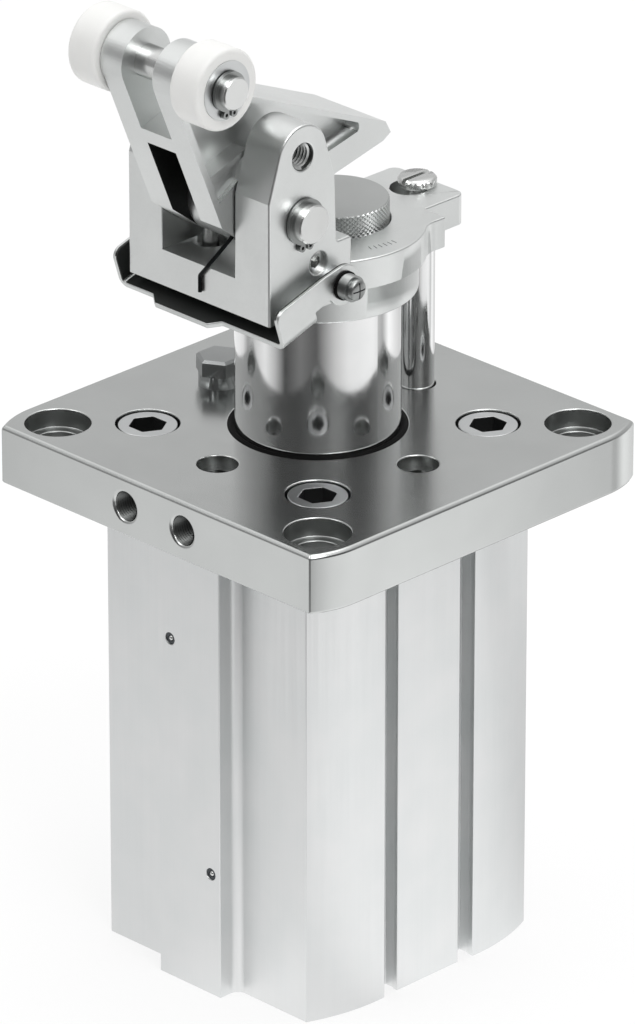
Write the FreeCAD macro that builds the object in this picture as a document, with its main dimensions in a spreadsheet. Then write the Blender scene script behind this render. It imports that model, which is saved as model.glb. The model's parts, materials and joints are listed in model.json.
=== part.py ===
import FreeCAD, Part
import math
import os
from types import SimpleNamespace

import Sketcher

# Stopper cylinder with a damped roller lever, in millimetres.
# The origin is the centre of the barrel's underside and +Z runs up the rod. -Y is the side with the ports,
# and the lever leans towards it. The head stands at its top position, ready to stop a pallet.

Vector = FreeCAD.Vector
doc = FreeCAD.newDocument("stopper_cylinder")

# Driving sizes
sizes = {
    # Barrel, an extruded profile
    "barrel_length": 150.5,
    "barrel_front": 47.2,
    "barrel_corner": 42.3,
    "barrel_side": 47.1,
    "barrel_side_radius": 64.0,
    "side_flat": 13.2,
    "slot_width": 5.8,
    "slot_lip": 1.8,
    "slot_undercut": 0.5,
    "slot_depth": 5.4,
    "strip_width": 26.0,
    "strip_height": 7.3,
    "strip_root_radius": 3.0,
    "bore_radius": 31.5,
    "channel_radius": 2.0,
    "channel_inset": 4.2,
    "upper_channel_across": 8.0,
    "lower_channel_across": 9.0,
    "upper_channel_above": 7.4,
    "lower_channel_above": 6.6,
    "plug_radius": 1.9,
    "plug_length": 3.2,
    "plug_recess": 0.5,
    "plug_socket": 1.9,
    "plug_socket_depth": 1.6,
    # Flange plate
    "flange_thick": 18.8,
    "flange_front": 68.6,
    "flange_side": 69.5,
    "flange_corner_radius": 27.5,
    "flange_side_straight": 54.0,
    "flange_edge": 1.0,
    "mount_pitch": 110.0,
    "mount_hole_radius": 6.9,
    "mount_sink_radius": 10.0,
    "mount_sink_depth": 6.0,
    "screw_pitch": 72.0,
    "screw_radius": 6.0,
    "screw_head_radius": 9.0,
    "screw_head_height": 12.0,
    "screw_head_sunk": 0.5,
    "screw_sink_radius": 9.75,
    "screw_socket": 10.0,
    "screw_socket_depth": 5.5,
    "screw_grip": 24.0,
    "screw_hole_runout": 4.0,
    "tool_hole_place": 42.0,
    "tool_hole_radius": 3.2,
    "tool_hole_depth": 12.0,
    "tool_sink_radius": 6.2,
    "tool_sink_depth": 3.5,
    "port_across": 12.1,
    "port_height": 9.4,
    "port_radius": 4.4,
    "port_mouth_radius": 5.15,
    "port_depth": 21.0,
    "post_hole_radius": 5.9,
    # Hexagon bolt beside the rod
    "bolt_collar_radius": 6.5,
    "bolt_collar_height": 4.0,
    "bolt_across_flats": 12.8,
    "bolt_head_height": 5.3,
    "bolt_shank_radius": 4.0,
    "bolt_shank_length": 13.5,
    # Rod, piston and what guides them
    "rod_radius": 25.0,
    "rod_showing": 45.3,
    "rod_bore_radius": 20.6,
    "rod_bore_depth": 72.0,
    "rod_spigot_radius": 23.0,
    "rod_spigot_height": 8.0,
    "rod_fit": 0.05,
    "rod_clearance": 0.35,
    "stroke": 40.0,
    "guide_top_radius": 29.0,
    "guide_above": 12.8,
    "guide_below": 32.5,
    "sleeve_wall": 1.5,
    "sleeve_lip": 1.5,
    "sleeve_length": 34.0,
    "rod_seal_width": 3.0,
    "rod_seal_height": 4.0,
    "wiper_radius": 27.0,
    "wiper_lip": 0.5,
    "wiper_lip_width": 1.0,
    "stop_ring_wall": 3.0,
    "stop_ring_height": 12.0,
    "end_gap": 0.3,
    "piston_height": 20.0,
    "piston_clearance": 0.35,
    "piston_spigot_radius": 12.0,
    "seal_section": 4.0,
    "seal_pitch": 6.0,
    "nut_across_flats": 36.0,
    "nut_height": 10.0,
    "cover_inset": 8.0,
    "cover_wall": 8.0,
    "cover_floor": 9.0,
    "cover_hub_radius": 12.0,
    "ring_section": 3.0,
    "retainer_thick": 2.0,
    "retainer_bite": 1.5,
    "retainer_width": 5.0,
    "retainer_gap": 10.0,
    "retainer_eye_across": 7.5,
    "retainer_eye_inset": 3.0,
    "retainer_eye_radius": 1.0,
    "buffer_thick": 1.7,
    "buffer_radius": 24.0,
    # Guide post
    "post_place": 42.0,
    "post_radius": 5.5,
    "post_bottom": 140.0,
    "post_pocket_floor": 96.0,
    "post_screw_radius": 4.0,
    "post_screw_length": 18.0,
    "post_bush_radius": 8.0,
    "post_bush_length": 14.8,
    "post_screw_head_radius": 5.95,
    "post_screw_head_height": 2.1,
    "post_screw_edge": 0.7,
    "post_slot_width": 1.4,
    "post_slot_depth": 1.0,
    "keyhole_radius": 6.0,
    "keyhole_step": 3.3,
    # Head casting
    "boss_radius": 30.0,
    "boss_height": 10.0,
    "plate_thick": 9.6,
    "plate_waist": 23.6,
    "plate_shoulder": 30.0,
    "plate_step": 3.0,
    "plate_swell": 25.9,
    "plate_swell_place": 19.3,
    "plate_neck_radius": 9.0,
    "lug_half_width": 14.9,
    "lug_end": 47.4,
    "lug_corner": 3.0,
    "head_front": 49.4,
    "head_half_width": 29.5,
    "window_half_width": 15.3,
    "window_floor": 11.4,
    "ear_knee": 38.6,
    "ear_hole_place": 35.5,
    "ear_hole_height": 49.8,
    "ear_top_radius": 9.85,
    "ear_back": 21.6,
    "ear_back_lean": 0.7,
    "ear_back_knee": 40.2,
    "stop_wall_back": 15.4,
    "stop_wall_height": 19.2,
    "stop_wall_edge": 0.85,
    "cast_edge": 0.7,
    "ear_thread_radius": 4.0,
    "ear_thread_edge": 0.4,
    "set_screw_place": 29.2,
    "set_screw_height": 14.45,
    "set_screw_radius": 3.6,
    "set_screw_hole_depth": 11.0,
    "set_screw_length": 9.6,
    "set_screw_socket": 3.6,
    # Absorber in the hollow rod
    "absorber_place": 6.5,
    "absorber_radius": 13.5,
    "absorber_thread_radius": 14.0,
    "absorber_bottom": 168.0,
    "absorber_bore_radius": 9.0,
    "absorber_floor": 4.0,
    "absorber_roof": 5.0,
    "plunger_rod_radius": 5.0,
    "plunger_radius": 8.8,
    "plunger_height": 8.0,
    "plunger_bottom": 205.0,
    "absorber_spring_wire": 1.6,
    "absorber_spring_turns": 7.0,
    "absorber_spring_gap": 1.6,
    "absorber_travel": 4.0,
    "cap_radius": 16.15,
    "cap_height": 7.6,
    "cap_proud": 6.0,
    "cap_edge": 0.5,
    "cap_recess_radius": 17.1,
    # Pivot and lever
    "pivot_place": 35.4,
    "pivot_height": 29.7,
    "pivot_radius": 6.0,
    "pivot_half_length": 34.2,
    "pivot_fit": 0.05,
    "lever_half_width": 14.8,
    "hub_radius": 12.5,
    "arm_length": 56.0,
    "arm_lean": 30.4,
    "arm_head_radius": 10.0,
    "arm_head_outer": 15.2,
    "arm_head_back": 3.3,
    "face_lean": 22.4,
    "face_length": 49.6,
    "fork_half_width": 6.4,
    "fork_depth": 18.2,
    "fork_floor_rise": 19.0,
    "fork_floor_length": 26.3,
    "crossbar": 5.4,
    "lever_window_half_width": 5.9,
    "lever_window_depth": 17.0,
    "lever_web": 9.0,
    "lever_rim": 2.2,
    "lever_top_rim": 1.9,
    "lever_under_rim": 8.45,
    "lever_pocket_corner": 1.3,
    "lever_pocket_top": 9.0,
    "lever_pocket_back": 7.0,
    "lever_pocket_low_angle": 30.0,
    "lever_pocket_high_angle": 50.0,
    "rib_place": 31.7,
    "rib_length": 15.7,
    "rib_width": 2.3,
    "lower_pocket_depth": 1.6,
    "lower_pocket_inset": 1.3,
    "lower_pocket_drop": 6.8,
    "lower_pocket_taper": 2.2,
    "tail_block": 11.2,
    "tail_root_reach": 10.0,
    "tail_reach": 51.0,
    "tail_tip_rise": 8.8,
    "tail_top_reach": 48.9,
    "tail_top_rise": 12.7,
    "tail_foot_reach": 47.9,
    "tail_foot_rise": 6.9,
    "tail_top_slope": 23.3,
    "tail_under_slope": 12.7,
    # Rollers and their axle
    "axle_radius": 5.0,
    "axle_half_length": 31.0,
    "roller_radius": 12.5,
    "roller_width": 11.1,
    "roller_edge": 1.2,
    "roller_start": 15.6,
    "roller_bush_radius": 9.0,
    "roller_bush_proud": 0.3,
    "roller_fit": 0.05,
    "clip_thick": 1.1,
    "clip_width": 1.5,
    "clip_bite": 0.4,
    "clip_gap": 0.3,
    "clip_lug_radius": 1.25,
    "clip_eye_radius": 0.55,
    "clip_eye_across": 1.55,
    "clip_eye_drop": 0.75,
    "clip_opening": 1.0,
    # Torsion spring on the pivot
    "spring_wire": 1.2,
    "spring_turn_gap": 0.06,
    "spring_radius": 8.0,
    "spring_turns": 2.0,
    "spring_inner_face": 10.0,
    "spring_start": 11.4,
    "spring_recess_radius": 10.2,
    "spring_bend": 1.2,
    "spring_knee_place": 46.5,
    "spring_knee_rise": 11.0,
    "spring_sill_across": 4.7,
    "spring_sill_rise": 0.9,
    "spring_hook_across": 1.3,
    "spring_hook_drop": 3.1,
    "spring_tip_drop": 8.3,
    "leg_room_back": 3.0,
    "leg_room_drop": 1.8,
    # Latch pin under the lever
    "latch_across": 10.3,
    "latch_place": 34.6,
    "latch_hole_radius": 5.0,
    "latch_hole_floor": 1.7,
    "latch_collar_radius": 4.7,
    "latch_collar_height": 3.0,
    "latch_collar_bottom": 6.4,
    "latch_neck_radius": 2.8,
    "latch_tip_radius": 2.0,
    "latch_gap": 0.4,
    "latch_spring_wire": 0.8,
    "latch_spring_turns": 3.0,
    "latch_spring_gap": 0.8,
    # Sheet bracket under the head
    "bracket_pivot_place": 23.65,
    "bracket_pivot_height": 7.3,
    "bracket_tilt": 17.5,
    "sheet": 1.7,
    "bracket_inner": 33.0,
    "bracket_reach": 27.3,
    "bracket_drop": 5.8,
    "bracket_base_depth": 14.5,
    "bracket_strap_low": 1.4,
    "bracket_strap_top": 6.9,
    "bracket_eye_radius": 6.3,
    "bracket_bend": 3.0,
    "bracket_corner": 3.0,
    "bracket_tab_half_width": 14.5,
    "bracket_tab_bevel": 3.5,
    "bracket_tab": 3.0,
    "bracket_journal_radius": 3.0,
    "bracket_fit": 0.05,
    "bracket_side_gap": 0.1,
    "bracket_spacer_radius": 4.5,
    "bracket_thread_radius": 2.5,
    "bracket_thread_length": 12.0,
    "bracket_head_radius": 4.0,
    "bracket_head_length": 4.0,
    "bracket_tip_radius": 3.2,
    "bracket_tip_length": 2.2,
    "cross_width": 0.8,
    "cross_depth": 0.9,
    "cross_reach": 2.1,
}

sheet = doc.addObject("Spreadsheet::Sheet", "sizes")
for row, (name, value) in enumerate(sizes.items(), start=1):
    sheet.set(f"A{row}", name)
    sheet.set(f"B{row}", str(value))
    sheet.setAlias(f"B{row}", name)
doc.recompute()


class Size(float):
    # A number that carries the sheet formula it comes from, so that what is built stays bound to the sheet
    def __new__(cls, number, formula):
        size = float.__new__(cls, number)
        size.formula = formula
        return size

    def __add__(self, other):
        return Size(float(self) + float(other), f"({self.formula} + {formulaOf(other)})")

    def __radd__(self, other):
        return Size(float(other) + float(self), f"({formulaOf(other)} + {self.formula})")

    def __sub__(self, other):
        return Size(float(self) - float(other), f"({self.formula} - {formulaOf(other)})")

    def __rsub__(self, other):
        return Size(float(other) - float(self), f"({formulaOf(other)} - {self.formula})")

    def __mul__(self, other):
        return Size(float(self) * float(other), f"({self.formula} * {formulaOf(other)})")

    def __rmul__(self, other):
        return Size(float(other) * float(self), f"({formulaOf(other)} * {self.formula})")

    def __truediv__(self, other):
        return Size(float(self) / float(other), f"({self.formula} / {formulaOf(other)})")

    def __neg__(self):
        return Size(-float(self), f"(0 - {self.formula})")


def formulaOf(value):
    return value.formula if isinstance(value, Size) else repr(float(value))


def sine(angle):
    return Size(math.sin(math.radians(angle)), f"sin({formulaOf(angle)} * 1 deg)")


def cosine(angle):
    return Size(math.cos(math.radians(angle)), f"cos({formulaOf(angle)} * 1 deg)")


def root(value):
    return Size(math.sqrt(value), f"sqrt({formulaOf(value)})")


s = SimpleNamespace(**{name: Size(value, f"sizes.{name}") for name, value in sizes.items()})

# Levels and places that follow from the driving sizes
flangeTop = s.barrel_length + s.flange_thick
bossBottom = flangeTop + s.rod_showing
plateBottom = bossBottom + s.boss_height
plateTop = plateBottom + s.plate_thick
windowFloor = plateBottom + s.window_floor
pivotY = -s.pivot_place
pivotZ = plateBottom + s.pivot_height
axleY = pivotY - s.arm_length * sine(s.arm_lean)
axleZ = pivotZ + s.arm_length * cosine(s.arm_lean)
guideBottom = s.barrel_length - s.guide_below
pistonTop = guideBottom - s.stop_ring_height
pistonBottom = pistonTop - s.piston_height
nutBottom = pistonBottom - s.nut_height
coverTop = nutBottom - s.stroke - s.end_gap - s.buffer_thick
coverBottom = s.cover_inset
upperChannel = pistonTop + s.upper_channel_above
lowerChannel = coverTop + s.lower_channel_above
capTop = plateTop + s.cap_proud
capBottom = capTop - s.cap_height
recessFloor = capBottom - s.absorber_travel - s.end_gap
bracketY = -s.bracket_pivot_place
bracketZ = plateBottom + s.bracket_pivot_height
ends = (-1, 1)

# How far a cutting shape reaches past what it cuts, and how near two places count as one
overrun = 2.0
nearby = 0.02


# Building blocks

def bind(target, path, value):
    target.setExpression(path, formulaOf(value))


def place(target, at):
    for letter, value in zip("xyz", at):
        bind(target, f"Placement.Base.{letter}", value)
    return target


def newBody(label):
    body = doc.addObject("PartDesign::Body", label)
    body.Label = label
    return body


def newSketch(body, name, plane, offset=0.0):
    sketch = body.newObject("Sketcher::SketchObject", name)
    for feature in body.Origin.OriginFeatures:
        if feature.Role == plane + "_Plane":
            sketch.AttachmentSupport = [(feature, "")]
    sketch.MapMode = "FlatFace"
    bind(sketch, "AttachmentOffset.Base.z", offset)
    return sketch


def pinPoint(sketch, rules, formulas, geometry, end, point):
    for kind, axis, value in (("DistanceX", -2, point[0]), ("DistanceY", -1, point[1])):
        if float(value) == 0.0:
            rules.append(Sketcher.Constraint("PointOnObject", geometry, end, axis))
        else:
            rules.append(Sketcher.Constraint(kind, -1, 1, geometry, end, float(value)))
            formulas.append((len(rules) - 1, formulaOf(value)))


def arcCentre(first, last, radius):
    # Centre of the short arc between two points, to the left of the way for a positive radius
    middle = ((first[0] + last[0]) / 2, (first[1] + last[1]) / 2)
    across = (last[0] - first[0], last[1] - first[1])
    chord = math.hypot(*across)
    rise = math.sqrt(max(radius * radius - chord * chord / 4, 0.0)) * (1 if radius > 0 else -1)
    return (middle[0] - across[1] / chord * rise, middle[1] + across[0] / chord * rise)


def drawLoop(sketch, corners):
    # Each corner is (across, up) and the next side is straight, or (across, up, radius) for an arc to it
    start = sketch.GeometryCount
    shapes = []
    heads = []
    tails = []
    rules = []
    formulas = []
    for index, corner in enumerate(corners):
        first = (float(corner[0]), float(corner[1]))
        nextCorner = corners[(index + 1) % len(corners)]
        last = (float(nextCorner[0]), float(nextCorner[1]))
        if len(corner) == 2:
            shapes.append(Part.LineSegment(Vector(*first, 0), Vector(*last, 0)))
            heads.append(1)
            tails.append(2)
            continue
        radius = float(corner[2])
        centre = arcCentre(first, last, radius)
        angles = [math.atan2(point[1] - centre[1], point[0] - centre[0]) for point in (first, last)]
        if radius < 0:
            angles.reverse()
        circle = Part.Circle(Vector(*centre, 0), Vector(0, 0, 1), abs(radius))
        shapes.append(Part.ArcOfCircle(circle, angles[0], angles[1]))
        heads.append(1 if radius > 0 else 2)
        tails.append(2 if radius > 0 else 1)
    sketch.addGeometry(shapes)
    count = len(corners)
    for index in range(count):
        other = (index + 1) % count
        joined = (start + index, tails[index], start + other, heads[other])
        rules.append(Sketcher.Constraint("Coincident", *joined))
    for index, corner in enumerate(corners):
        pinPoint(sketch, rules, formulas, start + index, heads[index], corner)
        if len(corner) == 3:
            radius = corner[2] if corner[2] > 0 else -corner[2]
            rules.append(Sketcher.Constraint("Radius", start + index, float(radius)))
            formulas.append((len(rules) - 1, formulaOf(radius)))
    applyRules(sketch, rules, formulas)


def drawCircle(sketch, centre, radius):
    index = sketch.GeometryCount
    middle = Vector(float(centre[0]), float(centre[1]), 0)
    sketch.addGeometry(Part.Circle(middle, Vector(0, 0, 1), float(radius)))
    rules = []
    formulas = []
    pinPoint(sketch, rules, formulas, index, 3, centre)
    rules.append(Sketcher.Constraint("Radius", index, float(radius)))
    formulas.append((len(rules) - 1, formulaOf(radius)))
    applyRules(sketch, rules, formulas)


def applyRules(sketch, rules, formulas):
    offset = sketch.ConstraintCount
    sketch.addConstraint(rules)
    for index, formula in formulas:
        sketch.setExpression(f"Constraints[{offset + index}]", formula)


def pad(body, sketch, length, bothWays=False, reverse=False):
    feature = body.newObject("PartDesign::Pad", sketch.Name + "_pad")
    feature.Profile = sketch
    bind(feature, "Length", length)
    feature.Midplane = bothWays
    feature.Reversed = reverse
    sketch.Visibility = False
    return checked(body, feature, 1)


def pocket(body, sketch, depth=None, bothWays=False, reverse=False):
    feature = body.newObject("PartDesign::Pocket", sketch.Name + "_pocket")
    feature.Profile = sketch
    if depth is None:
        feature.Type = "ThroughAll"
    else:
        bind(feature, "Length", depth)
    feature.Midplane = bothWays
    feature.Reversed = reverse
    return checked(body, feature, -1)


def revolve(body, sketch, axis, groove=False):
    kind = "Groove" if groove else "Revolution"
    feature = body.newObject("PartDesign::" + kind, sketch.Name + "_turned")
    feature.Profile = sketch
    feature.ReferenceAxis = (sketch, [axis])
    feature.Angle = 360.0
    return checked(body, feature, -1 if groove else 1)


def checked(body, feature, sign):
    # What adds must add and what cuts must cut
    doc.recompute()
    before = feature.BaseFeature.Shape.Volume if feature.BaseFeature else 0.0
    change = (feature.Shape.Volume - before) * sign
    if not change > 1e-6:
        raise ValueError(f"{feature.Name} in {body.Label} changes nothing")
    return feature


def edgesWhere(shape, test):
    return [f"Edge{index}" for index, edge in enumerate(shape.Edges, start=1) if test(edge)]


def isCircle(edge, radius):
    if edge.Degenerated or not hasattr(edge.Curve, "Radius"):
        return False
    return abs(edge.Curve.Radius - float(radius)) < nearby


def dressEdges(body, kind, size, test):
    # A Fillet or Chamfer on the edges of the body's last feature that pass the test
    base = body.Tip
    names = edgesWhere(base.Shape, test)
    feature = body.newObject("PartDesign::" + kind, f"{body.Name}_{kind.lower()}")
    feature.Base = (base, names)
    bind(feature, "Radius" if kind == "Fillet" else "Size", size)
    doc.recompute()
    return feature


def turned(label, corners, axis="Z", at=(0, 0, 0)):
    # A turned piece: corners are (radius, height) about Z, or (place, radius) about X
    body = newBody(label)
    sketch = newSketch(body, label + "_section", "XZ")
    drawLoop(sketch, corners)
    revolve(body, sketch, "V_Axis" if axis == "Z" else "H_Axis")
    return place(body, at)


def ringSection(inner, outer, low, high):
    return [(inner, low), (outer, low), (outer, high), (inner, high)]


def turnTo(target, axis):
    if axis == "X":
        target.Placement.Rotation = FreeCAD.Rotation(Vector(0, 1, 0), 90)
    if axis == "Y":
        target.Placement.Rotation = FreeCAD.Rotation(Vector(1, 0, 0), -90)
    return target


def cylinder(name, radius, length, at, axis="Z"):
    solid = doc.addObject("Part::Cylinder", name)
    bind(solid, "Radius", radius)
    bind(solid, "Height", length)
    return place(turnTo(solid, axis), at)


def hexagon(name, acrossFlats, length, at, axis="Z"):
    solid = doc.addObject("Part::Prism", name)
    solid.Polygon = 6
    bind(solid, "Circumradius", acrossFlats / math.sqrt(3))
    bind(solid, "Height", length)
    return place(turnTo(solid, axis), at)


def box(name, size, at):
    solid = doc.addObject("Part::Box", name)
    for side, value in zip(("Length", "Width", "Height"), size):
        bind(solid, side, value)
    return place(solid, at)


def fused(name, pieces):
    solid = doc.addObject("Part::MultiFuse", name)
    solid.Shapes = pieces
    solid.Refine = True
    return solid


def cut(name, base, tool):
    solid = doc.addObject("Part::Cut", name)
    solid.Base = base
    solid.Tool = tool
    return solid


def group(label, pieces):
    collection = doc.addObject("Part::Compound", label)
    collection.Label = label
    collection.Links = pieces
    return collection


def labelled(target, label):
    target.Label = label
    return target


def coil(label, radius, wire, low, high, turns, at=(0, 0, 0)):
    # A round wire wound about Z, its first and last turns inside the given heights
    rise = float(high - low) - float(wire)
    helix = Part.makeHelix(rise / float(turns), rise, float(radius))
    start = Vector(float(radius), 0, 0)
    section = Part.Wire([Part.makeCircle(float(wire) / 2, start, Vector(0, 1, 0))])
    solid = Part.Wire(helix.Edges).makePipeShell([section], True, True)
    feature = doc.addObject("Part::Feature", label)
    feature.Shape = solid
    return place(feature, (at[0], at[1], low + wire / 2))


# Fixed pieces

def makeBarrel():
    body = newBody("barrel")
    sketch = newSketch(body, "barrel_profile", "XY")
    half = s.strip_width / 2
    front = s.barrel_front + s.strip_height
    foot = half + s.strip_root_radius
    rootTop = s.barrel_front + s.strip_root_radius
    drawLoop(sketch, [
        (-half, -front), (half, -front), (half, -rootTop, -s.strip_root_radius), (foot, -s.barrel_front),
        (s.barrel_corner, -s.barrel_front, s.barrel_side_radius), (s.barrel_side, -s.side_flat),
        (s.barrel_side, s.side_flat, s.barrel_side_radius), (s.barrel_corner, s.barrel_front),
        (foot, s.barrel_front, -s.strip_root_radius), (half, rootTop),
        (half, front), (-half, front), (-half, rootTop, -s.strip_root_radius), (-foot, s.barrel_front),
        (-s.barrel_corner, s.barrel_front, s.barrel_side_radius), (-s.barrel_side, s.side_flat),
        (-s.barrel_side, -s.side_flat, s.barrel_side_radius), (-s.barrel_corner, -s.barrel_front),
        (-foot, -s.barrel_front, -s.strip_root_radius), (-half, -rootTop)])
    pad(body, sketch, s.barrel_length)

    # Sensor slots, wider behind their lips
    slots = newSketch(body, "sensor_slots", "XY")
    for side in ends:
        for end in ends:
            mouth = s.side_flat
            drawLoop(slots, [
                (side * (s.barrel_side + overrun), end * mouth),
                (side * (s.barrel_side - s.slot_lip), end * mouth),
                (side * (s.barrel_side - s.slot_lip), end * (mouth - s.slot_undercut)),
                (side * (s.barrel_side - s.slot_depth), end * (mouth - s.slot_undercut)),
                (side * (s.barrel_side - s.slot_depth), end * (mouth + s.slot_width + s.slot_undercut)),
                (side * (s.barrel_side - s.slot_lip), end * (mouth + s.slot_width + s.slot_undercut)),
                (side * (s.barrel_side - s.slot_lip), end * (mouth + s.slot_width)),
                (side * (s.barrel_side + overrun), end * (mouth + s.slot_width))])
    pocket(body, slots, reverse=True)

    bore = newSketch(body, "cylinder_bore", "XY")
    drawCircle(bore, (0, 0), s.bore_radius)
    pocket(body, bore, reverse=True)

    threads = newSketch(body, "flange_screw_holes", "XY", s.barrel_length)
    for side in ends:
        for end in ends:
            drawCircle(threads, (side * s.screw_pitch / 2, end * s.screw_pitch / 2), s.screw_radius)
    pocket(body, threads, s.screw_grip + s.screw_hole_runout)

    post = newSketch(body, "post_pocket", "XY", s.barrel_length)
    drawCircle(post, (0, s.post_place), s.post_hole_radius)
    pocket(body, post, s.barrel_length - s.post_pocket_floor)

    # Air channels in the front strip, drilled down and then across into the bore
    for name, across, height in (("upper", -s.upper_channel_across, upperChannel),
                                 ("lower", s.lower_channel_across, lowerChannel)):
        down = newSketch(body, name + "_channel", "XY", s.barrel_length)
        drawCircle(down, (across, s.channel_inset - front), s.channel_radius)
        pocket(body, down, s.barrel_length - height + s.channel_radius)
        cross = newSketch(body, name + "_cross_channel", "XZ", front)
        drawCircle(cross, (across, height), s.plug_radius)
        pocket(body, cross, front - s.bore_radius + s.channel_radius)

    groove = newSketch(body, "retainer_groove", "XZ")
    drawLoop(groove, ringSection(s.bore_radius - overrun, s.bore_radius + s.retainer_bite,
                                 coverBottom - s.retainer_thick, coverBottom))
    revolve(body, groove, "V_Axis", groove=True)
    return body


def makeFlangePlate():
    body = newBody("flange_plate")
    sketch = newSketch(body, "flange_outline", "XY", s.barrel_length)
    rise = s.flange_front - s.flange_side_straight
    corner = s.flange_side - s.flange_corner_radius + root(
        s.flange_corner_radius * s.flange_corner_radius - rise * rise)
    drawLoop(sketch, [
        (corner, -s.flange_front, s.flange_corner_radius), (s.flange_side, -s.flange_side_straight),
        (s.flange_side, s.flange_side_straight, s.flange_corner_radius), (corner, s.flange_front),
        (-corner, s.flange_front, s.flange_corner_radius), (-s.flange_side, s.flange_side_straight),
        (-s.flange_side, -s.flange_side_straight, s.flange_corner_radius), (-corner, -s.flange_front)])
    pad(body, sketch, s.flange_thick)
    dressEdges(body, "Chamfer", s.flange_edge,
               lambda edge: min(vertex.Z for vertex in edge.Vertexes) > float(flangeTop) - nearby)
    dressEdges(body, "Chamfer", s.flange_edge / 2,
               lambda edge: max(vertex.Z for vertex in edge.Vertexes) < float(s.barrel_length) + nearby)

    def fromTop(name, places, radius, depth=None):
        holes = newSketch(body, name, "XY", flangeTop)
        for spot in places:
            drawCircle(holes, spot, radius)
        return pocket(body, holes, depth)

    mounts = [(side * s.mount_pitch / 2, end * s.mount_pitch / 2) for side in ends for end in ends]
    fromTop("mount_holes", mounts, s.mount_hole_radius)
    fromTop("mount_sinks", mounts, s.mount_sink_radius, s.mount_sink_depth)
    screws = [(side * s.screw_pitch / 2, end * s.screw_pitch / 2) for side in ends for end in ends]
    fromTop("screw_holes", screws, s.screw_radius + s.rod_clearance)
    fromTop("screw_sinks", screws, s.screw_sink_radius, s.screw_head_height + s.screw_head_sunk)
    tools = [(0, -s.tool_hole_place), (s.tool_hole_place, 0)]
    fromTop("tool_holes", tools, s.tool_hole_radius, s.tool_hole_depth)
    fromTop("tool_sinks", tools, s.tool_sink_radius, s.tool_sink_depth)
    fromTop("bolt_hole", [(-s.tool_hole_place, 0)], s.bolt_shank_radius, s.bolt_shank_length)
    fromTop("rod_hole", [(0, 0)], s.wiper_radius)
    fromTop("post_hole", [(0, s.post_place)], s.post_hole_radius)

    below = newSketch(body, "guide_seat", "XY", s.barrel_length)
    drawCircle(below, (0, 0), s.guide_top_radius)
    pocket(body, below, s.guide_above, reverse=True)
    bushSeat = newSketch(body, "post_bush_seat", "XY", s.barrel_length)
    drawCircle(bushSeat, (0, s.post_place), s.post_bush_radius)
    pocket(body, bushSeat, s.post_bush_length, reverse=True)

    # Ports in the front edge, each with a channel down to the barrel
    ports = newSketch(body, "ports", "XZ", s.flange_front)
    for side in ends:
        drawCircle(ports, (side * s.port_across, s.barrel_length + s.port_height), s.port_radius)
    pocket(body, ports, s.port_depth)
    for side, across in ((-1, -s.upper_channel_across), (1, s.lower_channel_across)):
        channel = newSketch(body, "port_channel" + ("_left" if side < 0 else "_right"), "XY", s.barrel_length)
        drawCircle(channel, (across, s.channel_inset - s.barrel_front - s.strip_height), s.channel_radius)
        pocket(body, channel, s.port_height, reverse=True)
    dressEdges(body, "Chamfer", s.port_mouth_radius - s.port_radius,
               lambda edge: isCircle(edge, s.port_radius)
               and abs(edge.Curve.Center.y + float(s.flange_front)) < nearby)
    return body


def makeBottomCover():
    outer = s.bore_radius
    inner = outer - s.cover_wall
    grooveLow = (coverBottom + coverTop) / 2
    grooveHigh = grooveLow + s.ring_section
    ceiling = coverTop - s.cover_floor
    turned("bottom_cover", [
        (0, 0), (s.cover_hub_radius, 0), (s.cover_hub_radius, ceiling), (inner, ceiling),
        (inner, coverBottom), (outer, coverBottom), (outer, grooveLow),
        (outer - s.ring_section, grooveLow), (outer - s.ring_section, grooveHigh),
        (outer, grooveHigh), (outer, coverTop), (0, coverTop)])
    turned("bottom_cover_seal", ringSection(outer - s.ring_section, outer, grooveLow, grooveHigh))
    turned("retract_buffer", ringSection(s.piston_spigot_radius, s.buffer_radius, coverTop,
                                         coverTop + s.buffer_thick))


def makeRetainer():
    # Inner retaining ring with a gap and two eyes for the pliers
    low = coverBottom - s.retainer_thick
    outer = s.bore_radius + s.retainer_bite
    ring = cut("retainer_ring",
               cylinder("retainer_outer", outer, s.retainer_thick, (0, 0, low)),
               cylinder("retainer_inner", s.bore_radius - s.retainer_width, s.retainer_thick, (0, 0, low)))
    gap = box("retainer_opening", (s.retainer_gap, outer + overrun, s.retainer_thick),
              (-s.retainer_gap / 2, 0, low))
    eyeY = s.bore_radius - s.retainer_eye_inset
    eyes = [cylinder("retainer_eye", s.retainer_eye_radius, s.retainer_thick,
                     (side * s.retainer_eye_across, eyeY, low)) for side in ends]
    labelled(cut("retainer", ring, fused("retainer_tools", [gap] + eyes)), "bottom_retaining_ring")


def makeFlangeScrews():
    headTop = flangeTop - s.screw_head_sunk
    headBottom = headTop - s.screw_head_height
    screws = []
    for side in ends:
        for end in ends:
            spot = (side * s.screw_pitch / 2, end * s.screw_pitch / 2)
            solid = fused("flange_screw_body", [
                cylinder("flange_screw_head", s.screw_head_radius, s.screw_head_height, (*spot, headBottom)),
                cylinder("flange_screw_shank", s.screw_radius, headBottom - s.barrel_length + s.screw_grip,
                         (*spot, s.barrel_length - s.screw_grip))])
            socket = hexagon("flange_screw_socket", s.screw_socket, s.screw_socket_depth,
                             (*spot, headTop - s.screw_socket_depth))
            screws.append(cut("flange_screw", solid, socket))
    group("flange_screws", screws)


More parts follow.
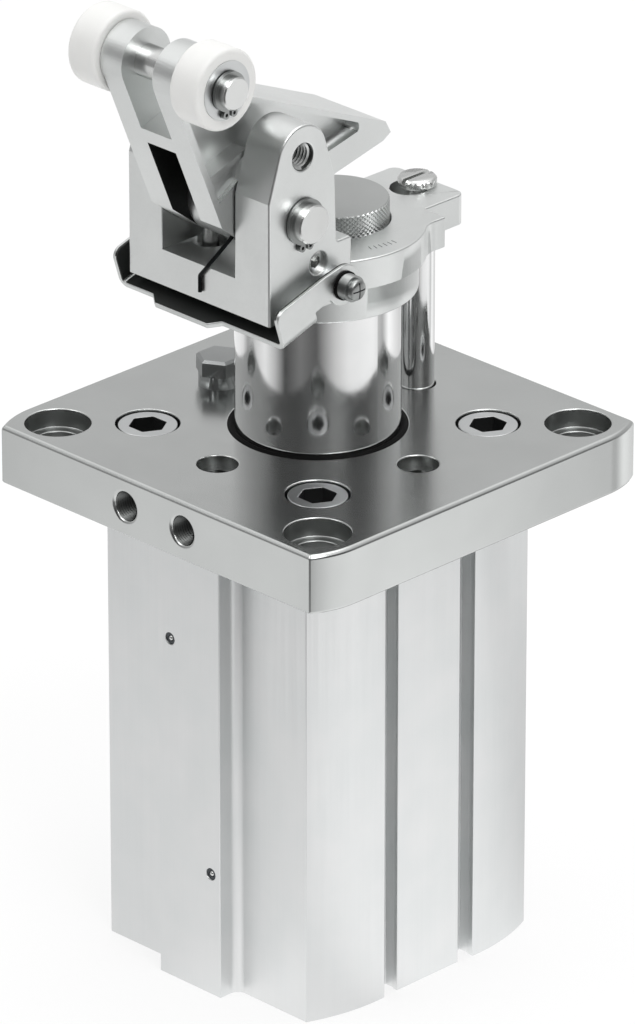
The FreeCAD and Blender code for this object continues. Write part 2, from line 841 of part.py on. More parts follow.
def makeStopBolt():
    spot = (-s.tool_hole_place, 0)
    bolt = fused("stop_bolt_body", [
        hexagon("stop_bolt_hexagon", s.bolt_across_flats, s.bolt_head_height,
                (*spot, flangeTop + s.bolt_collar_height)),
        cylinder("stop_bolt_collar", s.bolt_collar_radius, s.bolt_collar_height, (*spot, flangeTop)),
        cylinder("stop_bolt_shank", s.bolt_shank_radius, s.bolt_shank_length,
                 (*spot, flangeTop - s.bolt_shank_length))])
    labelled(bolt, "hex_stop_bolt")


def makeChannelPlugs():
    face = s.plug_recess - s.barrel_front - s.strip_height
    plugs = []
    for across, height in ((-s.upper_channel_across, upperChannel),
                           (s.lower_channel_across, lowerChannel)):
        plug = cylinder("plug_body", s.plug_radius, s.plug_length, (across, face, height), "Y")
        socket = hexagon("plug_socket", s.plug_socket, s.plug_socket_depth, (across, face, height), "Y")
        plugs.append(cut("plug", plug, socket))
    group("channel_plugs", plugs)


def makeRodGuide():
    top = s.barrel_length + s.guide_above
    clear = s.rod_radius + s.rod_clearance
    sleeveOuter = s.rod_radius + s.rod_fit + s.sleeve_wall
    sealOuter = s.rod_radius + s.rod_fit + s.rod_seal_width
    sleeveHigh = top - s.sleeve_lip
    sleeveLow = sleeveHigh - s.sleeve_length
    sealTop = guideBottom + s.rod_seal_height
    grooveLow = s.barrel_length - s.guide_below / 2
    grooveHigh = grooveLow + s.ring_section
    turned("rod_guide", [
        (sealOuter, guideBottom), (s.bore_radius, guideBottom), (s.bore_radius, grooveLow),
        (s.bore_radius - s.ring_section, grooveLow), (s.bore_radius - s.ring_section, grooveHigh),
        (s.bore_radius, grooveHigh), (s.bore_radius, s.barrel_length), (s.guide_top_radius, s.barrel_length),
        (s.guide_top_radius, top), (clear, top), (clear, sleeveHigh), (sleeveOuter, sleeveHigh),
        (sleeveOuter, sleeveLow), (clear, sleeveLow), (clear, sealTop), (sealOuter, sealTop)])
    turned("rod_guide_seal", ringSection(s.bore_radius - s.ring_section, s.bore_radius, grooveLow, grooveHigh))
    turned("rod_bearing_sleeve", ringSection(s.rod_radius + s.rod_fit, sleeveOuter, sleeveLow, sleeveHigh))
    turned("rod_seal", ringSection(s.rod_radius + s.rod_fit, sealOuter, guideBottom, sealTop))
    stopOuter = clear + s.stop_ring_wall
    turned("extend_stop_ring", ringSection(clear, stopOuter, pistonTop + s.end_gap, guideBottom))
    inner = s.rod_radius + s.rod_fit
    turned("rod_wiper_seal", [
        (inner, top), (s.wiper_radius, top), (s.wiper_radius, flangeTop),
        (inner + s.wiper_lip_width, flangeTop + s.wiper_lip), (inner, flangeTop)])
    turned("post_guide_bush", ringSection(s.post_radius + s.rod_fit, s.post_bush_radius, s.barrel_length,
                                          s.barrel_length + s.post_bush_length), at=(0, s.post_place, 0))


# Pieces that rise and sink with the rod

def makeRod():
    bored = bossBottom + s.rod_spigot_height - s.rod_bore_depth
    turned("piston_rod", [
        (0, nutBottom), (s.piston_spigot_radius, nutBottom), (s.piston_spigot_radius, pistonTop),
        (s.rod_radius, pistonTop), (s.rod_radius, bossBottom), (s.rod_spigot_radius, bossBottom),
        (s.rod_spigot_radius, bossBottom + s.rod_spigot_height),
        (s.rod_bore_radius, bossBottom + s.rod_spigot_height),
        (s.rod_bore_radius, bored), (0, bored)])


def makePiston():
    outer = s.bore_radius - s.piston_clearance
    floor = outer - s.seal_section
    bearing = s.bore_radius - s.rod_fit
    reach = {"piston_guide_ring": bearing, "piston_magnet": outer, "piston_seal": bearing}
    edge = (s.piston_height - s.seal_section - s.seal_pitch * (len(reach) - 1)) / 2
    corners = [(s.piston_spigot_radius, pistonBottom), (outer, pistonBottom)]
    for index, name in enumerate(reach):
        low = pistonBottom + edge + s.seal_pitch * index
        high = low + s.seal_section
        corners += [(outer, low), (floor, low), (floor, high), (outer, high)]
        turned(name, ringSection(floor, reach[name], low, high))
    corners += [(outer, pistonTop), (s.piston_spigot_radius, pistonTop)]
    turned("piston", corners)
    nut = hexagon("nut_hexagon", s.nut_across_flats, s.nut_height, (0, 0, nutBottom))
    hole = cylinder("nut_hole", s.piston_spigot_radius, s.nut_height, (0, 0, nutBottom))
    labelled(cut("nut", nut, hole), "piston_nut")


def makeGuidePost():
    threadBottom = plateBottom - s.post_screw_length
    turned("guide_post", [
        (0, s.post_bottom), (s.post_radius, s.post_bottom), (s.post_radius, plateBottom),
        (s.post_screw_radius, plateBottom), (s.post_screw_radius, threadBottom), (0, threadBottom)],
        at=(0, s.post_place, 0))
    headTop = plateTop + s.post_screw_head_height
    edge = s.post_screw_edge
    turned("post_screw_blank", [
        (0, threadBottom), (s.post_screw_radius, threadBottom), (s.post_screw_radius, plateTop),
        (s.post_screw_head_radius - edge / 2, plateTop), (s.post_screw_head_radius, plateTop + edge),
        (s.post_screw_head_radius, headTop - edge), (s.post_screw_head_radius - edge, headTop), (0, headTop)],
        at=(0, s.post_place, 0))
    reach = s.post_screw_head_radius + overrun
    slot = box("post_screw_slot", (s.post_slot_width, reach * 2, s.post_slot_depth + overrun),
               (-s.post_slot_width / 2, s.post_place - reach, headTop - s.post_slot_depth))
    labelled(cut("post_screw", doc.getObject("post_screw_blank"), slot), "guide_post_screw")


def tangentPoint(centre, radius, point, turn):
    # Where the line from a point touches a circle, to the left (turn 1) or right (turn -1) of the centre
    dx = point[0] - centre[0]
    dy = point[1] - centre[1]
    square = dx * dx + dy * dy
    rr = radius * radius
    cross = radius * root(square - rr) * turn
    return (centre[0] + (rr * dx - cross * dy) / square, centre[1] + (rr * dy + cross * dx) / square)


def makeHousing():
    body = newBody("lever_housing")
    top = (-s.ear_hole_place, plateBottom + s.ear_hole_height)
    knee = (-s.head_front, plateBottom + s.ear_knee)
    backKnee = (-s.ear_back - s.ear_back_lean, plateBottom + s.ear_back_knee)
    frontTouch = tangentPoint(top, s.ear_top_radius, knee, -1)
    backTouch = tangentPoint(top, s.ear_top_radius, backKnee, 1)
    wallTop = plateBottom + s.stop_wall_height
    bevel = s.stop_wall_edge
    crown = (top[0], top[1] + s.ear_top_radius)
    cheek = newSketch(body, "head_side", "YZ")
    drawLoop(cheek, [
        (-s.head_front, plateBottom), (-s.stop_wall_back, plateBottom), (-s.stop_wall_back, wallTop - bevel),
        (-s.stop_wall_back - bevel, wallTop), (-s.ear_back, wallTop), backKnee,
        (*backTouch, s.ear_top_radius), (*crown, s.ear_top_radius), frontTouch, knee])
    pad(body, cheek, s.head_half_width * 2, bothWays=True)
    dressEdges(body, "Fillet", s.cast_edge,
               lambda edge: edge.BoundBox.ZMax > float(plateBottom) + nearby
               and all(abs(abs(vertex.X) - float(s.head_half_width)) < nearby for vertex in edge.Vertexes))

    # Round plate behind the cheeks, with the lug for the guide post, over the ring that holds the rod
    plate = newSketch(body, "plate_outline", "XY", plateBottom)
    front = -s.stop_wall_back - overrun
    side = root(s.boss_radius * s.boss_radius - front * front)
    lugCorner = s.lug_end - s.lug_corner
    drawLoop(plate, [
        (-side, front), (side, front, s.boss_radius),
        (s.plate_swell, s.plate_swell_place, -s.plate_neck_radius),
        (s.plate_waist, s.plate_shoulder - s.plate_step), (s.plate_waist, s.plate_shoulder),
        (s.lug_half_width, s.plate_shoulder),
        (s.lug_half_width, lugCorner, s.lug_corner), (s.lug_half_width - s.lug_corner, s.lug_end),
        (s.lug_corner - s.lug_half_width, s.lug_end, s.lug_corner), (-s.lug_half_width, lugCorner),
        (-s.lug_half_width, s.plate_shoulder), (-s.plate_waist, s.plate_shoulder),
        (-s.plate_waist, s.plate_shoulder - s.plate_step, -s.plate_neck_radius),
        (-s.plate_swell, s.plate_swell_place, s.boss_radius)])
    pad(body, plate, s.plate_thick)
    boss = newSketch(body, "rod_boss", "XY", bossBottom)
    drawCircle(boss, (0, 0), s.boss_radius)
    pad(body, boss, s.boss_height)

    window = newSketch(body, "lever_window", "XY", windowFloor)
    drawLoop(window, [
        (-s.window_half_width, -s.head_front - overrun), (s.window_half_width, -s.head_front - overrun),
        (s.window_half_width, -s.ear_back), (-s.window_half_width, -s.ear_back)])
    pocket(body, window, s.ear_hole_height + s.ear_top_radius, reverse=True)
    rodSeat = newSketch(body, "rod_seat", "XY", bossBottom)
    drawCircle(rodSeat, (0, 0), s.rod_spigot_radius)
    pocket(body, rodSeat, s.rod_spigot_height, reverse=True)
    thread = newSketch(body, "absorber_thread", "XY", bossBottom)
    drawCircle(thread, (0, s.absorber_place), s.absorber_thread_radius)
    pocket(body, thread, reverse=True)
    recess = newSketch(body, "cap_recess", "XY", recessFloor)
    drawCircle(recess, (0, s.absorber_place), s.cap_recess_radius)
    pocket(body, recess, reverse=True)

    # Keyhole for the guide post's screw
    wide = newSketch(body, "keyhole_wide", "XY", plateBottom)
    drawCircle(wide, (0, s.post_place - s.keyhole_step), s.keyhole_radius)
    pocket(body, wide, reverse=True)
    narrow = newSketch(body, "keyhole_narrow", "XY", plateBottom)
    drawCircle(narrow, (0, s.post_place), s.post_screw_radius)
    pocket(body, narrow, reverse=True)

    through = newSketch(body, "pivot_hole", "YZ")
    drawCircle(through, (pivotY, pivotZ), s.pivot_radius)
    pocket(body, through, bothWays=True)
    ears = newSketch(body, "ear_threads", "YZ")
    drawCircle(ears, top, s.ear_thread_radius)
    pocket(body, ears, bothWays=True)
    dressEdges(body, "Chamfer", s.ear_thread_edge, lambda edge: isCircle(edge, s.ear_thread_radius)
               and abs(abs(edge.Curve.Center.x) - float(s.head_half_width)) < nearby
               and abs(edge.Curve.Center.z - float(top[1])) < nearby)
    for side, name in ((-1, "left"), (1, "right")):
        setHole = newSketch(body, "set_screw_hole_" + name, "YZ", side * s.head_half_width)
        drawCircle(setHole, (-s.set_screw_place, plateBottom + s.set_screw_height), s.set_screw_radius)
        pocket(body, setHole, s.set_screw_hole_depth, reverse=side < 0)
        bracketHole = newSketch(body, "bracket_hole_" + name, "YZ", side * s.head_half_width)
        drawCircle(bracketHole, (bracketY, bracketZ), s.bracket_thread_radius)
        pocket(body, bracketHole, s.bracket_thread_length, reverse=side < 0)

    latch = newSketch(body, "latch_hole", "XY", windowFloor)
    drawCircle(latch, (-s.latch_across, -s.latch_place), s.latch_hole_radius)
    pocket(body, latch, s.window_floor - s.latch_hole_floor)
    return body


def makeSetScrews():
    inner = s.head_half_width - s.set_screw_hole_depth
    height = plateBottom + s.set_screw_height
    screws = []
    for side in ends:
        low = inner if side > 0 else -inner - s.set_screw_length
        blank = cylinder("set_screw_blank", s.set_screw_radius, s.set_screw_length,
                         (low, -s.set_screw_place, height), "X")
        mouth = low + s.set_screw_length - s.set_screw_socket if side > 0 else low
        socket = hexagon("set_screw_socket", s.set_screw_socket, s.set_screw_socket,
                         (mouth, -s.set_screw_place, height), "X")
        screws.append(cut("set_screw", blank, socket))
    group("housing_set_screws", screws)


def grooveStart(face):
    return face + s.clip_gap


def makePin(label, radius, halfLength, face, at):
    # A pin along X with a groove for a retaining ring near each end
    low = grooveStart(face)
    high = low + s.clip_thick
    floor = radius - s.clip_bite
    edge = s.clip_bite
    turned(label, [
        (-halfLength, 0), (-halfLength, radius - edge), (edge - halfLength, radius), (-high, radius),
        (-high, floor), (-low, floor), (-low, radius), (low, radius), (low, floor), (high, floor), (high, radius),
        (halfLength - edge, radius), (halfLength, radius - edge), (halfLength, 0)], axis="X", at=at)


def makeRetainingRings(label, radius, face, at):
    # Open spring rings that sit in the pin's grooves, their two eyes pointing down
    inner = radius - s.clip_bite
    outer = inner + s.clip_width
    eyeDrop = outer + s.clip_eye_drop
    rings = []
    for side in ends:
        start = grooveStart(face) if side > 0 else -grooveStart(face) - s.clip_thick
        spot = (at[0] + start, at[1], at[2])
        pieces = [cylinder(label + "_band", outer, s.clip_thick, spot, "X")]
        tools = [cylinder(label + "_hole", inner, s.clip_thick, spot, "X"),
                 box(label + "_gap", (s.clip_thick, s.clip_opening, inner + outer),
                     (spot[0], spot[1] - s.clip_opening / 2, spot[2] - inner - outer))]
        for hand in ends:
            eye = (spot[0], spot[1] + hand * s.clip_eye_across, spot[2] - eyeDrop)
            pieces.append(cylinder(label + "_eye", s.clip_lug_radius, s.clip_thick, eye, "X"))
            tools.append(cylinder(label + "_eye_hole", s.clip_eye_radius, s.clip_thick, eye, "X"))
        rings.append(cut(label + "_ring", fused(label + "_blank", pieces), fused(label + "_tools", tools)))
    group(label, rings)


def makeAbsorber():
    spot = (0, s.absorber_place, 0)
    boreFloor = s.absorber_bottom + s.absorber_floor
    neck = recessFloor - s.absorber_roof
    threadStart = bossBottom + s.rod_spigot_height
    turned("absorber_housing", [
        (0, s.absorber_bottom), (s.absorber_radius, s.absorber_bottom), (s.absorber_radius, threadStart),
        (s.absorber_thread_radius, threadStart), (s.absorber_thread_radius, recessFloor),
        (s.plunger_rod_radius + s.rod_fit, recessFloor), (s.plunger_rod_radius + s.rod_fit, neck),
        (s.absorber_bore_radius, neck), (s.absorber_bore_radius, boreFloor), (0, boreFloor)], at=spot)
    turned("absorber_plunger", [
        (0, s.plunger_bottom), (s.plunger_radius, s.plunger_bottom),
        (s.plunger_radius, s.plunger_bottom + s.plunger_height),
        (s.plunger_rod_radius, s.plunger_bottom + s.plunger_height), (s.plunger_rod_radius, capBottom),
        (0, capBottom)], at=spot)
    turned("knurled_cap", [
        (0, capBottom), (s.cap_radius - s.cap_edge, capBottom), (s.cap_radius, capBottom + s.cap_edge),
        (s.cap_radius, capTop - s.cap_edge), (s.cap_radius - s.cap_edge, capTop), (0, capTop)], at=spot)
    coil("absorber_spring", s.absorber_bore_radius - s.absorber_spring_gap - s.absorber_spring_wire / 2,
         s.absorber_spring_wire, boreFloor, s.plunger_bottom, s.absorber_spring_turns, spot)


def makeLatchPin():
    spot = (-s.latch_across, -s.latch_place, 0)
    collarBottom = plateBottom + s.latch_collar_bottom
    collarTop = collarBottom + s.latch_collar_height
    tip = pivotZ - s.hub_radius - s.latch_gap
    turned("latch_pin", [
        (0, collarBottom), (s.latch_collar_radius, collarBottom), (s.latch_collar_radius, collarTop),
        (s.latch_neck_radius, collarTop), (s.latch_tip_radius, tip), (0, tip)], at=spot)
    coil("latch_pin_spring", s.latch_hole_radius - s.latch_spring_gap - s.latch_spring_wire / 2,
         s.latch_spring_wire, plateBottom + s.latch_hole_floor, collarBottom, s.latch_spring_turns, spot)


def bentWire(points, radius):
    # Straight runs through the points, an arc rounding each corner between them
    edges = []
    start = points[0]
    for before, corner, after in zip(points, points[1:], points[2:]):
        arriving = (corner - before).normalize()
        leaving = (after - corner).normalize()
        half = arriving.getAngle(leaving) / 2
        first = corner - arriving * radius * math.tan(half)
        last = corner + leaving * radius * math.tan(half)
        middle = corner + (leaving - arriving).normalize() * radius * (1 / math.cos(half) - 1)
        edges.append(Part.makeLine(start, first))
        edges.append(Part.Arc(first, middle, last).toShape())
        start = last
    edges.append(Part.makeLine(start, points[-1]))
    return edges


def makeTorsionSpring():
    # Wire wound on the lever's pivot, drawn about the start of its windings. One leg comes out below the lever
    # and hooks over the housing's sill.
    wire = float(s.spring_wire)
    radius = float(s.spring_radius)
    pitch = wire + float(s.spring_turn_gap)
    hookReach = float(s.pivot_place - s.head_front - s.bracket_side_gap) - wire / 2
    floor = float(s.window_floor - s.pivot_height)
    sillAcross = float(s.spring_sill_across - s.spring_start)
    hookAcross = float(s.spring_hook_across - s.spring_start)
    knee = Vector(0, float(s.pivot_place - s.spring_knee_place), floor + float(s.spring_knee_rise))
    sill = Vector(sillAcross, hookReach, floor + float(s.spring_sill_rise))
    hook = Vector(hookAcross, hookReach, floor - float(s.spring_hook_drop))
    tip = Vector(hookAcross, hookReach, floor - float(s.spring_tip_drop))
    touch = math.atan2(knee.z, knee.y) - math.acos(radius / knee.Length)
    leave = Vector(0, radius * math.cos(touch), radius * math.sin(touch))
    knee.x -= pitch / (2 * math.pi * radius) * (knee - leave).Length
    windings = Part.makeHelix(pitch, pitch * float(s.spring_turns), radius, 0, True)
    lying = FreeCAD.Rotation(Vector(0, 1, 0), Vector(0, 0, 1), Vector(1, 0, 0), "ZXY")
    turnedTo = FreeCAD.Rotation(Vector(1, 0, 0), math.degrees(touch)) * lying
    windings.Placement = FreeCAD.Placement(Vector(0, 0, 0), turnedTo)
    start = Part.Wire([Part.makeCircle(wire / 2, leave, leave - knee)])
    wound = Part.Wire(windings.Edges).makePipeShell([start], True, True)
    end = Part.Wire([Part.makeCircle(wire / 2, tip, Vector(0, 0, 1))])
    leg = Part.Wire(bentWire([tip, hook, sill, knee, leave], float(s.spring_bend)))
    leg = leg.makePipeShell([end], True, False)
    feature = doc.addObject("Part::Feature", "torsion_spring")
    feature.Shape = wound.fuse(leg).Solids[0]
    place(feature, (s.spring_start, pivotY, pivotZ))


# Lever with its rollers

def leverPoint(reach, rise):
    return (pivotY + reach, pivotZ + rise)


def makeLever():
    body = newBody("lever")
    lean = s.face_lean
    faceTop = (axleY - s.arm_head_radius * cosine(lean), axleZ - s.arm_head_radius * sine(lean))

    def downFace(along, inward=0.0):
        return (faceTop[0] + along * sine(lean) + inward * cosine(lean),
                faceTop[1] - along * cosine(lean) + inward * sine(lean))

    faceEnd = downFace(s.face_length)
    hubTouch = tangentPoint((pivotY, pivotZ), s.hub_radius, faceEnd, 1)
    foot = leverPoint(s.tail_foot_reach, s.tail_foot_rise)
    tip = leverPoint(s.tail_reach, s.tail_tip_rise)
    crest = leverPoint(s.tail_top_reach, s.tail_top_rise)
    topSlope = sine(s.tail_top_slope) / cosine(s.tail_top_slope)
    underSlope = sine(s.tail_under_slope) / cosine(s.tail_under_slope)

    def onTop(spot, below=0.0):
        return (spot, crest[1] + (crest[0] - spot) * topSlope - below)

    def onUnder(spot, above=0.0):
        return (spot, foot[1] - (foot[0] - spot) * underSlope + above)

    hubEnd = onUnder(pivotY + s.tail_root_reach)
    headBack = onTop(axleY + s.arm_head_back)
    outline = newSketch(body, "lever_side", "YZ")
    drawLoop(outline, [faceTop, faceEnd, hubTouch, (pivotY, pivotZ), hubEnd, foot, tip, crest, headBack])
    pad(body, outline, s.lever_half_width * 2, bothWays=True)

    # Arm heads on both sides of the axle
    for side, name in ((-1, "left"), (1, "right")):
        head = newSketch(body, "arm_head_" + name, "YZ", side * s.fork_half_width)
        drawCircle(head, (axleY, axleZ), s.arm_head_radius)
        pad(body, head, s.arm_head_outer - s.fork_half_width, reverse=side < 0)

    # Fork between the arms, its floor rising towards the tail
    floorFront = downFace(s.fork_depth)
    rise = s.fork_floor_rise
    run = s.fork_floor_length
    floorBack = (floorFront[0] + run * cosine(rise), floorFront[1] + run * sine(rise))
    above = axleZ + s.arm_head_radius + overrun
    ahead = axleY - s.arm_head_radius - overrun
    fork = newSketch(body, "fork", "YZ")
    drawLoop(fork, [
        downFace(s.fork_depth, -overrun), floorFront, floorBack, (floorBack[0], above), (ahead, above),
        (ahead, floorFront[1])])
    pocket(body, fork, s.fork_half_width * 2, bothWays=True)

    # Window below the crossbar, open towards the housing's floor
    windowTop = downFace(s.fork_depth + s.crossbar)
    hubBottom = pivotZ - s.hub_radius
    window = newSketch(body, "lever_window_cut", "YZ")
    drawLoop(window, [
        (windowTop[0] - overrun, windowTop[1]), windowTop, (windowTop[0] + s.lever_window_depth, windowTop[1]),
        (pivotY, pivotZ + s.hub_radius), (pivotY, hubBottom - overrun),
        (faceEnd[0] - overrun, hubBottom - overrun)])
    pocket(body, window, s.lever_window_half_width * 2, bothWays=True)

    # Blind pockets in both sides, a rib left between them
    rim = s.lever_rim
    ribFoot = downFace(s.rib_place, rim)
    ribBack = (ribFoot[0] + s.rib_length * cosine(rise), ribFoot[1] + s.rib_length * sine(rise))
    hubClear = s.hub_radius + rim
    high = s.lever_pocket_high_angle
    low = s.lever_pocket_low_angle
    hubFront = (pivotY - hubClear * cosine(high), pivotZ + hubClear * sine(high))
    hubBack = (pivotY + hubClear * cosine(low), pivotZ + hubClear * sine(low))
    pocketTop = downFace(s.lever_pocket_top, rim)
    pocketStart = onTop(axleY + s.lever_pocket_back, s.lever_top_rim)
    pocketEnd = onTop(crest[0] - s.tail_block, s.lever_top_rim)
    pocketLow = onUnder(crest[0] - s.tail_block, s.lever_under_rim)
    lowFoot = (ribFoot[0] + s.lower_pocket_inset, ribFoot[1] - s.rib_width)
    lowBack = (ribBack[0] - s.lower_pocket_inset, ribBack[1] - s.rib_width)

    def isPocketCorner(edge, side):
        # The edges along X at the two corners of the pocket's far end
        points = [vertex.Point for vertex in edge.Vertexes]
        if len(points) != 2 or any(point.x * side < float(s.lever_web) - nearby for point in points):
            return False
        return any(all(math.hypot(point.y - float(corner[0]), point.z - float(corner[1])) < nearby
                       for point in points) for corner in (pocketEnd, pocketLow))

    for side, name in ((-1, "left"), (1, "right")):
        hollow = newSketch(body, "side_pocket_" + name, "YZ", side * s.lever_half_width)
        drawLoop(hollow, [
            pocketTop, ribFoot, ribBack, (*hubFront, -hubClear), hubBack, pocketLow, pocketEnd, pocketStart])
        pocket(body, hollow, s.lever_half_width - s.lever_web, reverse=side < 0)
        dressEdges(body, "Fillet", s.lever_pocket_corner, lambda edge: isPocketCorner(edge, side))
        lower = newSketch(body, "lower_pocket_" + name, "YZ", side * s.lever_half_width)
        drawLoop(lower, [
            lowFoot, (lowFoot[0] + s.lower_pocket_taper, lowFoot[1] - s.lower_pocket_drop),
            (lowBack[0] - s.lower_pocket_taper, lowBack[1] - s.lower_pocket_drop), lowBack])
        pocket(body, lower, s.lower_pocket_depth, reverse=side < 0)

    # Round hub on the pivot
    hub = newSketch(body, "pivot_hub", "YZ")
    drawCircle(hub, (pivotY, pivotZ), s.hub_radius)
    pad(body, hub, s.lever_half_width * 2, bothWays=True)
    bore = newSketch(body, "hub_bore", "YZ")
    drawCircle(bore, (pivotY, pivotZ), s.pivot_radius + s.pivot_fit)
    pocket(body, bore, bothWays=True)
    axle = newSketch(body, "axle_bore", "YZ")
    drawCircle(axle, (axleY, axleZ), s.axle_radius)
    pocket(body, axle, bothWays=True)

    # Room for the torsion spring and its leg at the right end of the hub
    room = newSketch(body, "spring_room", "YZ", s.spring_inner_face)
    drawCircle(room, (pivotY, pivotZ), s.spring_recess_radius)
    pocket(body, room, s.lever_half_width, reverse=True)
    legRoom = newSketch(body, "spring_leg_room", "YZ", s.spring_inner_face)
    drawLoop(legRoom, [
        (pivotY - s.hub_radius, hubBottom - overrun), (pivotY + s.leg_room_back, hubBottom - overrun),
        (pivotY + s.leg_room_back, pivotZ - s.leg_room_drop),
        (pivotY - s.hub_radius, pivotZ - s.leg_room_drop)])
    pocket(body, legRoom, s.lever_half_width, reverse=True)
    return body


def makeRollers():
    for side, name in ((-1, "left"), (1, "right")):
        low = s.roller_start
        high = low + s.roller_width
        edge = s.roller_edge
        outer = s.roller_radius
        inner = s.roller_bush_radius
        tyre = [(low, inner), (low, outer - edge, -edge), (low + edge, outer), (high - edge, outer, -edge),
                (high, outer - edge), (high, inner)]
        bushEnd = high + s.roller_bush_proud
        bore = s.axle_radius + s.roller_fit
        bush = [(low, bore), (low, inner), (bushEnd, inner), (bushEnd, bore)]
        if side < 0:
            tyre = [(-low, inner), (-low, outer - edge, edge), (-low - edge, outer), (edge - high, outer, edge),
                    (-high, outer - edge), (-high, inner)]
            bush = [(-place, radius) for place, radius in bush]
        turned("roller_" + name, tyre, axis="X", at=(0, axleY, axleZ))
        turned("roller_bush_" + name, bush, axis="X", at=(0, axleY, axleZ))


# Sheet bracket under the head

def makeBracket():
    body = newBody("bracket")
    tilt = s.bracket_tilt

    def tilted(reach, rise):
        return (bracketY + reach * cosine(tilt) - rise * sine(tilt),
                bracketZ + reach * sine(tilt) + rise * cosine(tilt))

    front = -s.bracket_reach
    back = s.bracket_base_depth - s.bracket_reach
    low = -s.bracket_drop
    eye = s.bracket_eye_radius
    corner = s.bracket_corner
    lowTouch = root(eye * eye - s.bracket_strap_low * s.bracket_strap_low)
    topTouch = tilted(0.0, eye)
    crown = tilted(-eye, s.bracket_strap_top)
    outer = s.bracket_inner + s.sheet
    side = newSketch(body, "bracket_side", "YZ")
    drawLoop(side, [
        tilted(front, low), tilted(back, low), tilted(back, -s.bracket_strap_low),
        (*tilted(-lowTouch, -s.bracket_strap_low), eye), (*tilted(0.0, -eye), eye), (*tilted(eye, 0.0), eye),
        topTouch, crown, (*tilted(front + corner, s.bracket_strap_top), corner),
        tilted(front, s.bracket_strap_top - corner)])
    pad(body, side, outer * 2, bothWays=True)
    hollow = newSketch(body, "bracket_hollow", "YZ")
    clear = eye + overrun
    drawLoop(hollow, [
        tilted(front - overrun, low + s.sheet), tilted(back, low + s.sheet), tilted(back, -clear),
        tilted(clear, -clear), tilted(clear, clear), tilted(front - overrun, clear)])
    pocket(body, hollow, s.bracket_inner * 2, bothWays=True)
    finishBracket(body, tilted(front, low), outer)


def finishBracket(body, corner, outer):
    # Tab on the base's front edge, drawn in the plane of the tilted base
    tab = newSketch(body, "bracket_tab", "XY")
    tab.MapMode = "Deactivated"
    tab.Placement = FreeCAD.Placement(Vector(0, 0, 0), FreeCAD.Rotation(Vector(1, 0, 0), float(s.bracket_tilt)))
    bind(tab, "Placement.Base.y", corner[0])
    bind(tab, "Placement.Base.z", corner[1])
    half = s.bracket_tab_half_width
    bevel = s.bracket_tab_bevel
    drawLoop(tab, [(-half, overrun), (-half, 0), (bevel - half, -s.bracket_tab), (half - bevel, -s.bracket_tab),
                   (half, 0), (half, overrun)])
    pad(body, tab, s.sheet)
    holes = newSketch(body, "bracket_holes", "YZ")
    drawCircle(holes, (bracketY, bracketZ), s.bracket_journal_radius + s.bracket_fit)
    pocket(body, holes, bothWays=True)
    labelled(body, "release_bracket")
    acrossBase = Vector(0, -float(sine(s.bracket_tilt)), float(cosine(s.bracket_tilt)))
    cornerPoint = Vector(0, float(corner[0]), float(corner[1]))

    def isBend(edge, shift, lift):
        # An edge along the base's depth, at this distance from the middle and this height over its underside
        if abs(edge.Length - float(s.bracket_base_depth)) > nearby:
            return False
        return all(abs(abs(vertex.X) - float(shift)) < nearby
                   and abs((vertex.Point - cornerPoint).dot(acrossBase) - float(lift)) < nearby
                   for vertex in edge.Vertexes)

    dressEdges(body, "Fillet", s.bracket_bend, lambda edge: isBend(edge, outer, 0.0))
    dressEdges(body, "Fillet", s.bracket_bend - s.sheet, lambda edge: isBend(edge, s.bracket_inner, s.sheet))


def makeBracketScrews():
    journalStart = s.head_half_width
    armInner = s.bracket_inner - s.bracket_side_gap
    armOuter = s.bracket_inner + s.sheet + s.bracket_side_gap
    headEnd = armOuter + s.bracket_head_length
    tipEnd = headEnd + s.bracket_tip_length
    screws = []
    spacers = []
    for side, name in ((-1, "left"), (1, "right")):
        corners = [
            (side * (journalStart - s.bracket_thread_length), 0),
            (side * (journalStart - s.bracket_thread_length), s.bracket_thread_radius),
            (side * journalStart, s.bracket_thread_radius), (side * journalStart, s.bracket_journal_radius),
            (side * armOuter, s.bracket_journal_radius), (side * armOuter, s.bracket_head_radius),
            (side * headEnd, s.bracket_head_radius), (side * headEnd, s.bracket_tip_radius),
            (side * tipEnd, s.bracket_tip_radius), (side * tipEnd, 0)]
        blank = turned("bracket_screw_" + name, corners, axis="X", at=(0, bracketY, bracketZ))
        reach = s.cross_reach
        start = tipEnd - s.cross_depth if side > 0 else -tipEnd - s.cross_depth
        bars = [
            box("cross_bar", (s.cross_depth * 2, s.cross_width, reach * 2),
                (start, bracketY - s.cross_width / 2, bracketZ - reach)),
            box("cross_bar", (s.cross_depth * 2, reach * 2, s.cross_width),
                (start, bracketY - reach, bracketZ - s.cross_width / 2))]
        screws.append(cut("bracket_screw", blank, fused("cross", bars)))
        low = journalStart if side > 0 else -armInner
        width = armInner - journalStart
        spot = (low, bracketY, bracketZ)
        spacers.append(cut("spacer", cylinder("spacer_outer", s.bracket_spacer_radius, width, spot, "X"),
                           cylinder("spacer_hole", s.bracket_journal_radius, width, spot, "X")))
    group("bracket_screws", screws)
    group("bracket_spacers", spacers)


